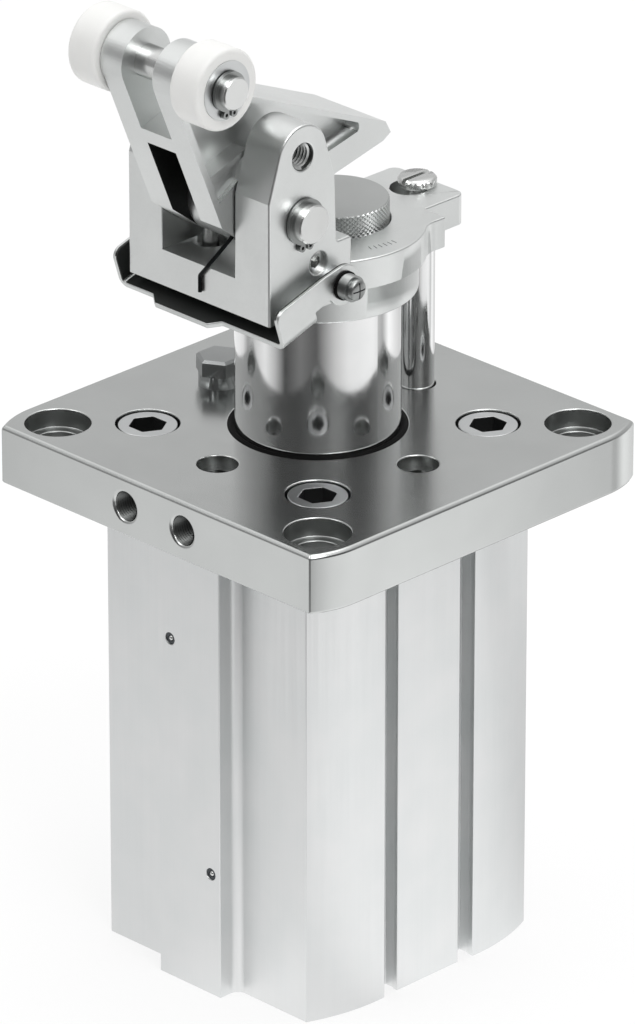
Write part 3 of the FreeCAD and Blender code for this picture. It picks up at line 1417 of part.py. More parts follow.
makeBarrel()
makeFlangePlate()
makeBottomCover()
makeRetainer()
makeFlangeScrews()
makeStopBolt()
makeChannelPlugs()
makeRodGuide()
makeRod()
makePiston()
makeGuidePost()
makeHousing()
makeSetScrews()
makePin("pivot_pin", s.pivot_radius, s.pivot_half_length, s.head_half_width, (0, pivotY, pivotZ))
makeRetainingRings("pivot_retaining_rings", s.pivot_radius, s.head_half_width, (0, pivotY, pivotZ))
makeAbsorber()
makeLatchPin()
makeTorsionSpring()
makeLever()
rollerFace = s.roller_start + s.roller_width + s.roller_bush_proud
makePin("roller_axle", s.axle_radius, s.axle_half_length, rollerFace, (0, axleY, axleZ))
makeRetainingRings("axle_retaining_rings", s.axle_radius, rollerFace, (0, axleY, axleZ))
makeRollers()
makeBracket()
makeBracketScrews()
doc.recompute()

# Check the whole document before anything is written
nodes = [
    "barrel", "flange_plate", "bottom_cover", "bottom_cover_seal", "bottom_retaining_ring", "retract_buffer",
    "flange_screws", "hex_stop_bolt", "channel_plugs", "rod_guide", "rod_guide_seal", "rod_bearing_sleeve",
    "rod_seal", "extend_stop_ring", "rod_wiper_seal", "post_guide_bush",
    "piston_rod", "piston", "piston_seal", "piston_magnet", "piston_guide_ring", "piston_nut", "guide_post",
    "guide_post_screw", "lever_housing", "housing_set_screws", "pivot_pin", "pivot_retaining_rings",
    "absorber_housing", "absorber_spring", "latch_pin_spring", "torsion_spring", "bracket_screws",
    "bracket_spacers", "absorber_plunger", "knurled_cap", "latch_pin",
    "lever", "roller_axle", "axle_retaining_rings", "roller_left", "roller_bush_left", "roller_right",
    "roller_bush_right", "release_bracket",
]
for item in doc.Objects:
    if "Invalid" in item.State or "Error" in item.State:
        raise ValueError(f"{item.Label} failed: {item.State}")
os.makedirs("parts", exist_ok=True)
for node in nodes:
    found = doc.getObjectsByLabel(node)
    if len(found) != 1:
        raise ValueError(f"{node} is there {len(found)} times")
    shape = found[0].Shape
    if shape.isNull() or not shape.isValid():
        raise ValueError(f"{node} has no valid shape")
    print(f"{node}: {len(shape.Solids)} solids, {shape.Volume:.1f} mm3")
for node in nodes:
    doc.getObjectsByLabel(node)[0].Shape.exportStep(f"parts/{node}.step")
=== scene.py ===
import json
import math

import bpy
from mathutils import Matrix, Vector


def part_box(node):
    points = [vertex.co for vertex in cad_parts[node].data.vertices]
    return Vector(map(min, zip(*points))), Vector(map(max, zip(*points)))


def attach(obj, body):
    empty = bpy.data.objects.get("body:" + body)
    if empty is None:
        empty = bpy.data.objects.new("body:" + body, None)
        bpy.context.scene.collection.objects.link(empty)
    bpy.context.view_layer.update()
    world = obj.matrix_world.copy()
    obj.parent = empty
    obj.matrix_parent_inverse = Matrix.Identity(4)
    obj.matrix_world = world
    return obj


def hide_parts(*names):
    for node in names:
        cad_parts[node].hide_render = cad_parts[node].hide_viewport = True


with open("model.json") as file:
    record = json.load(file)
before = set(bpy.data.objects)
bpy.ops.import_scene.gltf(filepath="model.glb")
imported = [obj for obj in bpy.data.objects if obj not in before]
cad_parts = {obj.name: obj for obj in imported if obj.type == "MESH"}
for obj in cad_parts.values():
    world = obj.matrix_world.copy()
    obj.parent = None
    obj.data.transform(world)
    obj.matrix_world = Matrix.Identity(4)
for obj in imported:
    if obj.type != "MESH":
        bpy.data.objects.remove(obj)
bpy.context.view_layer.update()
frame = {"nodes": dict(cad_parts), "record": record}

# Stopper cylinder in a pale studio, in metres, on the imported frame
mm = 0.001
nodeBody = {node: body for body, nodes in frame["record"]["behaviour"]["bodies"].items() for node in nodes}
slotOf = {part["node"]: part["material_slot"] for part in frame["record"]["subparts"]}


def deselectAll():
    if bpy.context.object and bpy.context.object.mode != "OBJECT":
        bpy.ops.object.mode_set(mode="OBJECT")
    bpy.ops.object.select_all(action="DESELECT")


def selectOnly(*pieces):
    deselectAll()
    for piece in pieces:
        piece.select_set(True)
    bpy.context.view_layer.objects.active = pieces[0]


# Camera, at the photograph's angle and frame
cameraView = {"target": (0, 0, 150 * mm), "distance": 2788.9 * mm, "azimuth": 45.05, "elevation": 24.61,
              "lens": 326.83, "shiftAcross": -0.0004, "shiftUp": -0.0301, "nearest": 0.05, "farthest": 20}


def makeCamera(look):
    turn, rise = math.radians(look["azimuth"]), math.radians(look["elevation"])
    back = Vector((math.sin(turn) * math.cos(rise), -math.cos(turn) * math.cos(rise), math.sin(rise)))
    bpy.ops.object.camera_add(location=Vector(look["target"]) + back * look["distance"])
    camera = bpy.context.object
    camera.rotation_euler = (-back).to_track_quat("-Z", "Y").to_euler()
    camera.data.lens = look["lens"]
    camera.data.shift_x = look["shiftAcross"]
    camera.data.shift_y = look["shiftUp"]
    camera.data.clip_start = look["nearest"]
    camera.data.clip_end = look["farthest"]
    bpy.context.scene.camera = camera


deselectAll()
makeCamera(cameraView)
bpy.context.scene.view_settings.view_transform = "Standard"
print("camera set")


# Small helpers for materials
def toLinear(code):
    channels = [int(code[start:start + 2], 16) / 255 for start in (1, 3, 5)]
    return [c / 12.92 if c <= 0.04045 else ((c + 0.055) / 1.055) ** 2.4 for c in channels] + [1]


def addNode(tree, kind, inputs=None, **settings):
    node = tree.nodes.new(kind)
    for name, value in settings.items():
        setattr(node, name, value)
    for socket, value in (inputs or {}).items():
        if isinstance(value, bpy.types.NodeSocket):
            tree.links.new(value, node.inputs[socket])
        else:
            node.inputs[socket].default_value = value
    return node


def perMetre(size):  # noise scale that gives features of this many millimetres
    return 1000 / size


# Studio: pale floor, soft lamps, white behind, and bright and dark sides for the metal to mirror
studio = {"floorRadius": 6.0, "floorSides": 96, "floorColour": "#f4f4f4", "floorGlow": 0.78, "lampColour": "#ffffff",
          "aim": (0, 0, 0.18), "surroundStrength": 1.0, "nearFloor": 0.24, "farFloor": 0.40, "zenith": 1.15,
          "zenithFrom": 0.5, "zenithTo": 0.8}
lamps = [  # place, size and power of each soft lamp, all aimed at the middle of the object
    ("rightSoftbox", (1.9, -0.6, 2.5), 1.6, 30),
    ("leftSoftbox", (-0.9, -1.8, 2.5), 1.6, 12),
    ("topSoftbox", (0.1, 0.5, 2.6), 1.8, 13),
]
# Share of the way round from -X by way of -Y, and the grey that metal mirrors there: of the floor far from the
# object, of the floor close to it, and of the sky below the zenith
floorGreys = [(0.0, 1.0), (0.035, 0.9), (0.07, 0.4), (0.11, 0.75), (0.165, 1.0), (0.21, 0.6), (0.25, 0.08),
              (0.31, 0.22), (0.37, 0.12), (0.44, 0.7), (0.49, 1.0), (0.60, 1.15), (0.645, 0.5), (0.685, 1.3),
              (0.73, 1.0), (0.79, 0.75), (0.875, 1.0), (0.96, 1.0)]
nearGreys = [(0.0, 0.9), (0.2, 0.96), (0.3, 1.15), (0.42, 1.02), (0.5, 1.25), (0.6, 1.18), (0.7, 0.78), (0.97, 0.85)]
skyGreys = [(0.0, 0.6), (0.06, 0.5), (0.13, 0.36), (0.21, 0.06), (0.30, 0.05), (0.37, 0.14), (0.44, 0.11), (0.52, 0.05),
            (0.58, 0.10), (0.67, 0.42), (0.74, 0.6), (0.82, 0.69), (0.90, 0.65), (0.96, 0.62)]


def addRound(tree, direction, greys):
    around = addNode(tree, "ShaderNodeTexGradient", {"Vector": direction}, gradient_type="RADIAL")
    ramp = addNode(tree, "ShaderNodeValToRGB", {"Fac": around.outputs["Fac"]})
    stops = ramp.color_ramp.elements
    while len(stops) < len(greys):
        stops.new(0.5)
    for stop, (share, grey) in zip(stops, greys):
        stop.position = share
        stop.color = (grey, grey, grey, 1)
    return ramp.outputs["Color"]


def makeStudio(look):
    bpy.ops.mesh.primitive_circle_add(vertices=look["floorSides"], radius=look["floorRadius"], fill_type="NGON")
    floor = bpy.context.object
    floor.name = "studioFloor"
    paper = bpy.data.materials.new("matt white paper")
    paper.use_nodes = True
    tree = paper.node_tree
    tree.nodes.clear()
    rays = addNode(tree, "ShaderNodeLightPath")
    place = addNode(tree, "ShaderNodeTexCoord").outputs["Object"]
    seen = addNode(tree, "ShaderNodeMath", {0: rays.outputs["Is Camera Ray"], 1: rays.outputs["Is Transmission Ray"]},
                   operation="MAXIMUM")
    share = addNode(tree, "ShaderNodeMath", {0: seen.outputs[0], 1: look["floorGlow"]}, operation="MULTIPLY")
    paperLook = addNode(tree, "ShaderNodeBsdfDiffuse", {"Color": toLinear(look["floorColour"])})
    glow = addNode(tree, "ShaderNodeEmission", {"Color": (1, 1, 1, 1), "Strength": 1})
    reach = addNode(tree, "ShaderNodeVectorMath", {0: place}, operation="LENGTH")
    away = addNode(tree, "ShaderNodeMapRange", {"Value": reach.outputs["Value"], "From Min": look["nearFloor"],
                                                "From Max": look["farFloor"]})
    greys = addNode(tree, "ShaderNodeMix", {"Factor": away.outputs[0], 6: addRound(tree, place, nearGreys),
                                            7: addRound(tree, place, floorGreys)}, data_type="RGBA")
    mirrored = addNode(tree, "ShaderNodeEmission", {"Color": greys.outputs[2], "Strength": look["surroundStrength"]})
    mixed = addNode(tree, "ShaderNodeMixShader", {0: share.outputs[0], 1: paperLook.outputs[0], 2: glow.outputs[0]})
    mixed = addNode(tree, "ShaderNodeMixShader",
                    {0: rays.outputs["Is Glossy Ray"], 1: mixed.outputs[0], 2: mirrored.outputs[0]})
    addNode(tree, "ShaderNodeOutputMaterial", {"Surface": mixed.outputs[0]})
    floor.data.materials.append(paper)
    for name, place, size, power in lamps:
        bpy.ops.object.light_add(type="AREA", location=place)
        lamp = bpy.context.object
        lamp.name = name
        lamp.data.shape = "DISK"
        lamp.data.size = size
        lamp.data.energy = power
        lamp.data.color = toLinear(look["lampColour"])[:3]
        aim = Vector(look["aim"]) - Vector(place)
        lamp.rotation_euler = aim.to_track_quat("-Z", "Y").to_euler()


def makeWorld(look):
    world = bpy.data.worlds.new("studio")
    bpy.context.scene.world = world
    world.use_nodes = True
    tree = world.node_tree
    tree.nodes.clear()
    rays = addNode(tree, "ShaderNodeLightPath")
    direction = addNode(tree, "ShaderNodeTexCoord").outputs["Generated"]
    height = addNode(tree, "ShaderNodeSeparateXYZ", {0: direction})
    upward = addNode(tree, "ShaderNodeMapRange", {"Value": height.outputs["Z"], "From Min": look["zenithFrom"],
                                                  "From Max": look["zenithTo"]})
    sky = addNode(tree, "ShaderNodeMix", {"Factor": upward.outputs[0], 6: addRound(tree, direction, skyGreys),
                                          7: [look["zenith"]] * 3 + [1]}, data_type="RGBA")
    around = addNode(tree, "ShaderNodeBackground", {"Color": sky.outputs[2], "Strength": look["surroundStrength"]})
    behind = addNode(tree, "ShaderNodeBackground", {"Color": (1, 1, 1, 1), "Strength": 1})
    mixed = addNode(tree, "ShaderNodeMixShader",
                    {0: rays.outputs["Is Camera Ray"], 1: around.outputs[0], 2: behind.outputs[0]})
    addNode(tree, "ShaderNodeOutputWorld", {"Surface": mixed.outputs[0]})


makeStudio(studio)
makeWorld(studio)
print("studio set")

# Finishes: the two close tones of each, how rough it is and by how much that varies, the grain in mm
# and its relief in mm, and how the grain is drawn out along X, Y and Z
finishLooks = {
    "anodised_profile": {  # dull sheen with faint lines drawn out along the die's way
        "title": "clear anodised extruded aluminium", "tones": ("#dadcdc", "#dedfdf"), "metallic": 1,
        "roughness": 0.40, "spread": 0.04, "grain": 0.5, "relief": 0.002, "drawn": (1, 1, 0.01)},
    "machined_plate": {  # smoother and cooler than the profile, so that it mirrors the rod softly
        "title": "blasted and anodised aluminium plate", "tones": ("#c6c8c7", "#cacccb"), "metallic": 1,
        "roughness": 0.21, "spread": 0.02, "grain": 0.6, "relief": 0.0008, "drawn": (1, 1, 1)},
    "cast_steel": {  # even matt grain over rounded edges that catch the light
        "title": "blasted investment-cast steel", "tones": ("#dcdedd", "#e1e3e2"), "metallic": 1,
        "roughness": 0.38, "spread": 0.05, "grain": 0.7, "relief": 0.004, "drawn": (1, 1, 1)},
    "chromed_steel": {  # a mirror with long dark and bright bands
        "title": "ground and hard chromed steel", "tones": ("#dedfdf", "#e3e3e3"), "metallic": 1,
        "roughness": 0.11, "spread": 0.02, "grain": 3.0, "relief": 0.0002, "drawn": (1, 1, 1)},
    "bright_steel": {  # bright, with fine marks of the lathe round the pins
        "title": "turned nickelled steel", "tones": ("#d3d4d3", "#dadbda"), "metallic": 1,
        "roughness": 0.22, "spread": 0.04, "grain": 0.4, "relief": 0.0006, "drawn": (1, 0.05, 0.05)},
    "zinc_steel": {  # bright bolts with a slightly cool, uneven skin
        "title": "clear zinc plated steel", "tones": ("#c8cacb", "#d0d2d2"), "metallic": 1,
        "roughness": 0.33, "spread": 0.02, "grain": 0.6, "relief": 0.0007, "drawn": (1, 1, 1)},
    "bolt_zinc": {  # zinc of the bolt that is handled, greyer than that of the screws
        "title": "handled zinc plate", "tones": ("#989a9a", "#a4a6a6"), "metallic": 1,
        "roughness": 0.30, "spread": 0.02, "grain": 0.6, "relief": 0.0007, "drawn": (1, 1, 1)},
    "spring_steel": {  # thin dark grey skin on rings and springs
        "title": "phosphated spring steel", "tones": ("#8b8d8c", "#9c9e9d"), "metallic": 1,
        "roughness": 0.34, "spread": 0.05, "grain": 0.4, "relief": 0.003, "drawn": (1, 1, 1)},
    "sheet_steel": {  # rolled sheet, flat and even
        "title": "zinc plated cold rolled sheet", "tones": ("#d4d6d5", "#d9dbda"), "metallic": 1,
        "roughness": 0.34, "spread": 0.05, "grain": 0.6, "relief": 0.001, "drawn": (1, 0.2, 1)},
    "cap_steel": {  # satin face
        "title": "knurled and faced steel", "tones": ("#bbbdbc", "#c0c2c1"), "metallic": 1,
        "roughness": 0.33, "spread": 0.02, "grain": 0.5, "relief": 0.0005, "drawn": (1, 1, 1)},
    "dark_steel": {  # oily near black of small screws
        "title": "blackened steel", "tones": ("#44474a", "#55585a"), "metallic": 1,
        "roughness": 0.34, "spread": 0.06, "grain": 0.5, "relief": 0.003, "drawn": (1, 1, 1)},
    "black_wire": {  # black wire with a soft line of light along it
        "title": "oil blackened spring wire", "tones": ("#1a1c1d", "#242627"), "metallic": 1,
        "roughness": 0.42, "spread": 0.05, "grain": 0.4, "relief": 0.002, "drawn": (1, 1, 1)},
    "bearing_bronze": {  # warm and porous
        "title": "sintered bronze", "tones": ("#a67d49", "#bb9260"), "metallic": 1,
        "roughness": 0.42, "spread": 0.06, "grain": 0.3, "relief": 0.006, "drawn": (1, 1, 1)},
    "white_plastic": {  # dense white that stays soft edged and a little waxy
        "title": "turned white acetal", "tones": ("#e2e2e0", "#e6e6e4"), "metallic": 0,
        "roughness": 0.36, "spread": 0.05, "grain": 0.6, "relief": 0.003, "drawn": (1, 1, 1)},
    "guide_plastic": {  # brownish filled plastic with a dry face
        "title": "bronze filled guide plastic", "tones": ("#8f7f5e", "#a3926f"), "metallic": 0,
        "roughness": 0.48, "spread": 0.05, "grain": 0.4, "relief": 0.003, "drawn": (1, 1, 1)},
    "magnet_ring": {  # dull black bonded powder
        "title": "bonded ferrite", "tones": ("#232323", "#2f2f2f"), "metallic": 0,
        "roughness": 0.52, "spread": 0.05, "grain": 0.4, "relief": 0.004, "drawn": (1, 1, 1)},
    "black_rubber": {  # dull black with a moulded skin
        "title": "moulded nitrile rubber", "tones": ("#060606", "#0b0b0b"), "metallic": 0, "gloss": 0.08,
        "roughness": 0.55, "spread": 0.06, "grain": 0.5, "relief": 0.004, "drawn": (1, 1, 1)},
    "painted_hollow_shade": {  # painted shade: near black drawn on the lever window's walls, where shade falls in the hollow
        "title": "painted shade of hollows", "tones": ("#2b2c2c", "#3a3b3a"), "metallic": 1,
        "roughness": 0.55, "spread": 0.08, "grain": 0.8, "relief": 0.01, "drawn": (1, 1, 1)},
    "painted_shade_grey": {  # painted shade: grey drawn in tapped bores, on the port thread ridges and on the lever's forward flank, darker than the face they open in
        "title": "painted grey shade", "tones": ("#6a6c6b", "#757776"), "metallic": 1,
        "roughness": 0.38, "spread": 0.05, "grain": 0.4, "relief": 0.003, "drawn": (1, 1, 1)},
    "painted_sink_shade": {  # painted shade: counterbores and holes drawn a step darker than the blasted top, where shade falls in them
        "title": "painted shade of milled sinks", "tones": ("#9b9d9c", "#a5a7a6"), "metallic": 1,
        "roughness": 0.32, "spread": 0.03, "grain": 0.4, "relief": 0.001, "drawn": (1, 1, 1)},
    "painted_socket_shade": {  # painted shade: near black drawn in screw sockets and cross cuts, where shade falls in them
        "title": "painted shade of sockets", "tones": ("#161717", "#1e1f1f"), "metallic": 0,
        "roughness": 0.5, "spread": 0.05, "grain": 0.5, "relief": 0.002, "drawn": (1, 1, 1)},
    "painted_bracket_shade": {  # painted shade: near black drawn on the bracket's base, the left strap's inside and the straps' upper rims, the last a painted gap shadow along the housing
        "title": "painted shade of the bracket", "tones": ("#202221", "#282a29"), "metallic": 0,
        "roughness": 0.42, "spread": 0.05, "grain": 0.6, "relief": 0.002, "drawn": (1, 1, 1)},
}
# The noise behind all finishes: its fine steps, the part of its range that is used, and the size in mm of the
# patches in which the two tones change
finishNoise = {"grainDetail": 3, "grainLow": 0.3, "grainHigh": 0.7, "patch": 18, "patchDetail": 4,
               "toneShares": (0.35, 0.65), "plainGloss": 0.5}


def makeFinish(look):
    material = bpy.data.materials.new(look["title"])
    material.use_nodes = True
    tree = material.node_tree
    tree.nodes.clear()
    noise = finishNoise
    shader = addNode(tree, "ShaderNodeBsdfPrincipled",
                     {"Metallic": look["metallic"], "Specular IOR Level": look.get("gloss", noise["plainGloss"])})
    addNode(tree, "ShaderNodeOutputMaterial", {"Surface": shader.outputs[0]})
    place = addNode(tree, "ShaderNodeTexCoord").outputs["Object"]
    drawn = addNode(tree, "ShaderNodeMapping", {"Vector": place, "Scale": look["drawn"]})
    grain = addNode(tree, "ShaderNodeTexNoise",
                    {"Vector": drawn.outputs[0], "Scale": perMetre(look["grain"]), "Detail": noise["grainDetail"]})
    rough = addNode(tree, "ShaderNodeMapRange",
                    {"Value": grain.outputs["Fac"], "From Min": noise["grainLow"], "From Max": noise["grainHigh"],
                     "To Min": look["roughness"] - look["spread"], "To Max": look["roughness"] + look["spread"]})
    tree.links.new(rough.outputs[0], shader.inputs["Roughness"])
    relief = addNode(tree, "ShaderNodeBump",
                     {"Height": grain.outputs["Fac"], "Strength": 1, "Distance": look["relief"] * mm})
    tree.links.new(relief.outputs[0], shader.inputs["Normal"])
    patches = addNode(tree, "ShaderNodeTexNoise",
                      {"Vector": place, "Scale": perMetre(noise["patch"]), "Detail": noise["patchDetail"]})
    tone = addNode(tree, "ShaderNodeValToRGB", {"Fac": patches.outputs["Fac"]})
    for stop, share, colour in zip(tone.color_ramp.elements, noise["toneShares"], look["tones"]):
        stop.position = share
        stop.color = toLinear(colour)
    tree.links.new(tone.outputs["Color"], shader.inputs["Base Color"])
    return material


finishes = {slotName: makeFinish(look) for slotName, look in finishLooks.items()}
for node, item in frame["nodes"].items():
    item.data.materials.clear()
    item.data.materials.append(finishes[slotOf[node]])
print("finishes made")


# Tools for the new pieces: what is merged or counts as flat, smooth or sharp, in metres and degrees
meshWork = {"merge": 0.5e-6, "flat": 0.5, "smooth": 30, "sharp": 35, "faceWeight": 90}


def startFrom(node, name):
    # A copy of a CAD piece with its loose triangles merged and its flat faces whole, ready to shape
    source = frame["nodes"][node]
    piece = source.copy()
    piece.data = source.data.copy()
    piece.name = piece.data.name = name
    piece.parent = None
    bpy.context.collection.objects.link(piece)
    selectOnly(piece)
    bpy.ops.object.mode_set(mode="EDIT")
    bpy.ops.mesh.select_all(action="SELECT")
    bpy.ops.mesh.remove_doubles(threshold=meshWork["merge"])
    bpy.ops.mesh.dissolve_limited(angle_limit=math.radians(meshWork["flat"]))
    bpy.ops.object.mode_set(mode="OBJECT")
    return piece


def joinPieces(pieces):
    selectOnly(*pieces)
    bpy.ops.object.join()


def useModifier(piece, kind, **settings):
    bpy.ops.object.modifier_add(type=kind)
    modifier = piece.modifiers[-1]
    for name, value in settings.items():
        setattr(modifier, name, value)
    bpy.ops.object.modifier_apply(modifier=modifier.name)


def pick(piece, vertexTest=None, edgeTest=None, faceTest=None):
    # Go into edit mode with only what passes the test selected
    bpy.ops.object.mode_set(mode="EDIT")
    mode = "VERT" if vertexTest else "EDGE" if edgeTest else "FACE"
    bpy.ops.mesh.select_mode(type=mode)
    bpy.ops.mesh.select_all(action="DESELECT")
    bpy.ops.object.mode_set(mode="OBJECT")
    mesh = piece.data
    if vertexTest:
        for vertex in mesh.vertices:
            vertex.select = vertexTest(vertex.co)
    if edgeTest:
        for edge in mesh.edges:
            edge.select = edgeTest(*(mesh.vertices[index].co for index in edge.vertices))
    if faceTest:
        for face in mesh.polygons:
            face.select = faceTest(face.center, face.normal)
    bpy.ops.object.mode_set(mode="EDIT")


def faceOutward():
    bpy.ops.mesh.select_all(action="SELECT")
    bpy.ops.mesh.normals_make_consistent(inside=False)
    bpy.ops.object.mode_set(mode="OBJECT")


def finishPiece(piece, name, body, slotName, angle=meshWork["smooth"]):
    # Put the place in the mesh, smooth it, and say what it rides on and what it is made of
    if bpy.context.object.mode != "OBJECT":
        bpy.ops.object.mode_set(mode="OBJECT")
    piece.name = piece.data.name = name
    bpy.ops.object.transform_apply(location=True, rotation=True, scale=True)
    bpy.ops.object.shade_smooth_by_angle(angle=math.radians(angle))
    if not piece.data.materials:
        piece.data.materials.append(finishes[slotName])
    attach(piece, body)


def turnUp(start, radius, steps, sides):
    # A round piece drawn up along Z from its foot, by the rise and the radius of each step
    deselectAll()
    bpy.ops.mesh.primitive_circle_add(vertices=sides, radius=radius, fill_type="NGON", location=start)
    piece = bpy.context.object
    bpy.ops.object.transform_apply(location=True)
    pick(piece, faceTest=lambda place, normal: True)
    for rise, nextRadius in steps:
        bpy.ops.mesh.extrude_region_move(TRANSFORM_OT_translate={"value": (0, 0, rise)})
        bpy.ops.transform.resize(value=(nextRadius / radius, nextRadius / radius, 1), center_override=start)
        radius = nextRadius
    faceOutward()
    return piece


# Cast, pressed and milled parts, by the radius of their edges in mm. Edges inside the boxes, given in mm for X on
# either side, stay sharp, and so do all of the lever's, whose faces rounding would fold
roundedParts = {
    "lever_housing": {"name": "leverHousingCasting", "radius": 0.45, "segments": 3, "leftSharp": [
        ((0, -60, 223), (40, 60, 224.8)), ((12.5, -50, 233), (16.5, -10, 239)), ((4, 34, 232), (12, 44, 236))]},
    "lever": {"name": "leverCasting", "radius": 0, "segments": 1, "leftSharp": []},
    "flange_plate": {"name": "flangePlateMilled", "radius": 0.45, "segments": 3, "leftSharp": [
        ((0, -62, 153), (65, 66, 163.2)), ((0, -62, 163.4), (65, 66, 167))]},
    "barrel": {"name": "barrelProfile", "radius": 0.3, "segments": 2, "leftSharp": [((0, -52.6, 30), (12, -40, 120))]},
    "release_bracket": {"name": "releaseBracketSheet", "radius": 0.3, "segments": 3, "leftSharp": []},
    "flange_screws": {"name": "flangeScrewsTurned", "radius": 0.3, "segments": 3, "leftSharp": [
        ((0, -60, 120), (60, 60, 168.3))]},
}
# Faces of these parts drawn darker than the rest as painted shade: hollows, bores, sinks, sockets and the bracket's
# inside
leverWindow = {"halfWidth": 5.9 * mm, "slack": 0.4 * mm, "top": 275.0 * mm}
leverFlank = {"forward": 0.45, "upward": 0.75, "top": 268.0 * mm}
bracketInside = {"halfWidth": 33.3 * mm, "slack": 0.42 * mm, "base": 33.0 * mm, "shadeEdge": 33.72 * mm, "flat": 0.85,
                 "leftInward": 0.2, "rimUpward": 0.1, "rimAcross": 0.95}
portBore = {"across": 12.1 * mm, "height": 159.9 * mm, "radius": 4.43 * mm, "deepest": -45 * mm}
flangeSinks = {"places": [(x, y, 10.1) for x in (-55, 55) for y in (-55, 55)] + [(0, -42, 6.3), (42, 0, 6.3)],
               "rim": 168.9 * mm, "bottom": 151.0 * mm, "downward": 0.5}
earBore = {"place": -35.5 * mm, "height": 274.4 * mm, "radius": 4.2 * mm}
screwSocket = {"pitch": 72 * mm, "reach": 5.9 * mm, "rim": 168.75 * mm, "deepest": 160 * mm}
bracketTab = {"halfWidth": 15 * mm, "shift": -5.9 * mm}


# Walls of the lever window, drawn with painted shade
def inLeverWindow(centre, normal):
    onWall = abs(abs(centre.x) - leverWindow["halfWidth"]) < leverWindow["slack"] and normal.x * centre.x < 0
    return onWall and centre.z < leverWindow["top"]


# Lever faces turned forward and up below the hub, drawn with painted shade
def onLeverFlank(centre, normal):
    return normal.y < -leverFlank["forward"] and normal.z > leverFlank["upward"] and centre.z < leverFlank["top"]


def onBracketInside(centre, normal):
    # Painted shade: on the right strap only the inner part of its rim is drawn dark, as a painted gap shadow
    onRim = abs(normal.x) < bracketInside["rimAcross"] and normal.z > bracketInside["rimUpward"]
    onLeft = centre.x < 0 and normal.x > bracketInside["leftInward"]
    onStrap = (onRim or onLeft) and abs(abs(centre.x) - bracketInside["halfWidth"]) < bracketInside["slack"]
    return onStrap or (abs(centre.x) < bracketInside["base"] and normal.z > bracketInside["flat"])


# Walls of the port bores, drawn with painted shade
def inPort(centre, normal):
    reach = math.hypot(abs(centre.x) - portBore["across"], centre.z - portBore["height"])
    return reach < portBore["radius"] and centre.y < portBore["deepest"]


# Walls and floors of the flange's counterbores and holes, drawn with painted shade
def inFlangeSink(centre, normal):
    near = any(math.hypot(centre.x - x * mm, centre.y - y * mm) < radius * mm for x, y, radius in flangeSinks["places"])
    return near and flangeSinks["bottom"] < centre.z < flangeSinks["rim"] and normal.z > -flangeSinks["downward"]


# Wall of the ear's tapped bore, drawn with painted shade between the thread ridges
def inEar(centre, normal):
    return math.hypot(centre.y - earBore["place"], centre.z - earBore["height"]) < earBore["radius"]


# Walls of the flange screws' sockets, drawn with painted shade
def inScrewSocket(centre, normal):
    half = screwSocket["pitch"] / 2
    reach = math.hypot(abs(centre.x) - half, abs(centre.y) - half)
    return reach < screwSocket["reach"] and screwSocket["deepest"] < centre.z < screwSocket["rim"]


darkFaces = {"lever": [(inLeverWindow, "painted_hollow_shade"), (onLeverFlank, "painted_shade_grey")],
             "release_bracket": [(onBracketInside, "painted_bracket_shade")],
             "flange_plate": [(inPort, "painted_shade_grey"), (inFlangeSink, "painted_sink_shade")],
             "lever_housing": [(inEar, "painted_shade_grey")], "flange_screws": [(inScrewSocket, "painted_socket_shade")]}


def isInBox(edge, mesh, boxes):
    ends = [mesh.vertices[index].co / mm for index in edge.vertices]
    return any(all(low[axis] <= (abs(end.x), end.y, end.z)[axis] <= high[axis] for end in ends for axis in range(3))
               for low, high in boxes)


def roundEdges(node, look):
    piece = startFrom(node, look["name"])
    if node == "release_bracket":  # the tab of the front edge stands left of the middle
        pick(piece, vertexTest=lambda place: abs(place.x) < bracketTab["halfWidth"])
        bpy.ops.transform.translate(value=(bracketTab["shift"], 0, 0))
        for side in (-1, 1):  # the painted shade of the inside ends on the straps' rims
            bpy.ops.mesh.select_all(action="SELECT")
            bpy.ops.mesh.bisect(plane_co=(side * bracketInside["shadeEdge"], 0, 0), plane_no=(1, 0, 0))
    if look["radius"]:
        pick(piece, edgeTest=lambda first, second: False)
        bpy.ops.mesh.edges_select_sharp(sharpness=math.radians(meshWork["sharp"]))
        bpy.ops.object.mode_set(mode="OBJECT")
        for edge in piece.data.edges:
            if edge.select and isInBox(edge, piece.data, look["leftSharp"]):
                edge.select = False
        bpy.ops.object.mode_set(mode="EDIT")
        bpy.ops.mesh.bevel(offset=look["radius"] * mm, segments=look["segments"], clamp_overlap=False,
                           miter_outer="ARC")
    bpy.ops.object.mode_set(mode="OBJECT")
    for index, (test, darkFinish) in enumerate(darkFaces.get(node, [])):
        piece.data.materials.append(finishes[darkFinish])
        for face in piece.data.polygons:
            if test(face.center, face.normal):
                face.material_index = index + 1
    finishPiece(piece, look["name"], nodeBody[node], slotOf[node])
    useModifier(piece, "WEIGHTED_NORMAL", keep_sharp=True, weight=meshWork["faceWeight"])
    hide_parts(node)


for node, look in roundedParts.items():
    roundEdges(node, look)
print("cast and pressed parts rounded")

# Screws of the bracket, with a ringed collar, a domed tip, a thin cross cut in it drawn in painted shade, and below
# them a black rubber ring that is a painted shadow of the gap at their foot
bracketScrew = {"foot": 20.7, "axisY": -23.65, "axisZ": 231.9, "footRadius": 2.5, "sides": 64,
                "shank": [(12.0, 2.5), (0, 3.0), (2.15, 3.0)], "collar": 4.0, "ring": 0.25, "rings": 8,
                "groove": 0.14, "neck": [(0, 3.3), (1.0, 3.3)],
                "dome": [(0.5, 3.12), (0.4, 2.65), (0.25, 1.9), (0.1, 1.0)],
                "crossWidth": 0.42, "crossDepth": 0.9, "crossReach": 2.5,
                "shadowRingFoot": 34.75, "shadowRingRadius": 4.45, "shadowRingSize": 0.75}


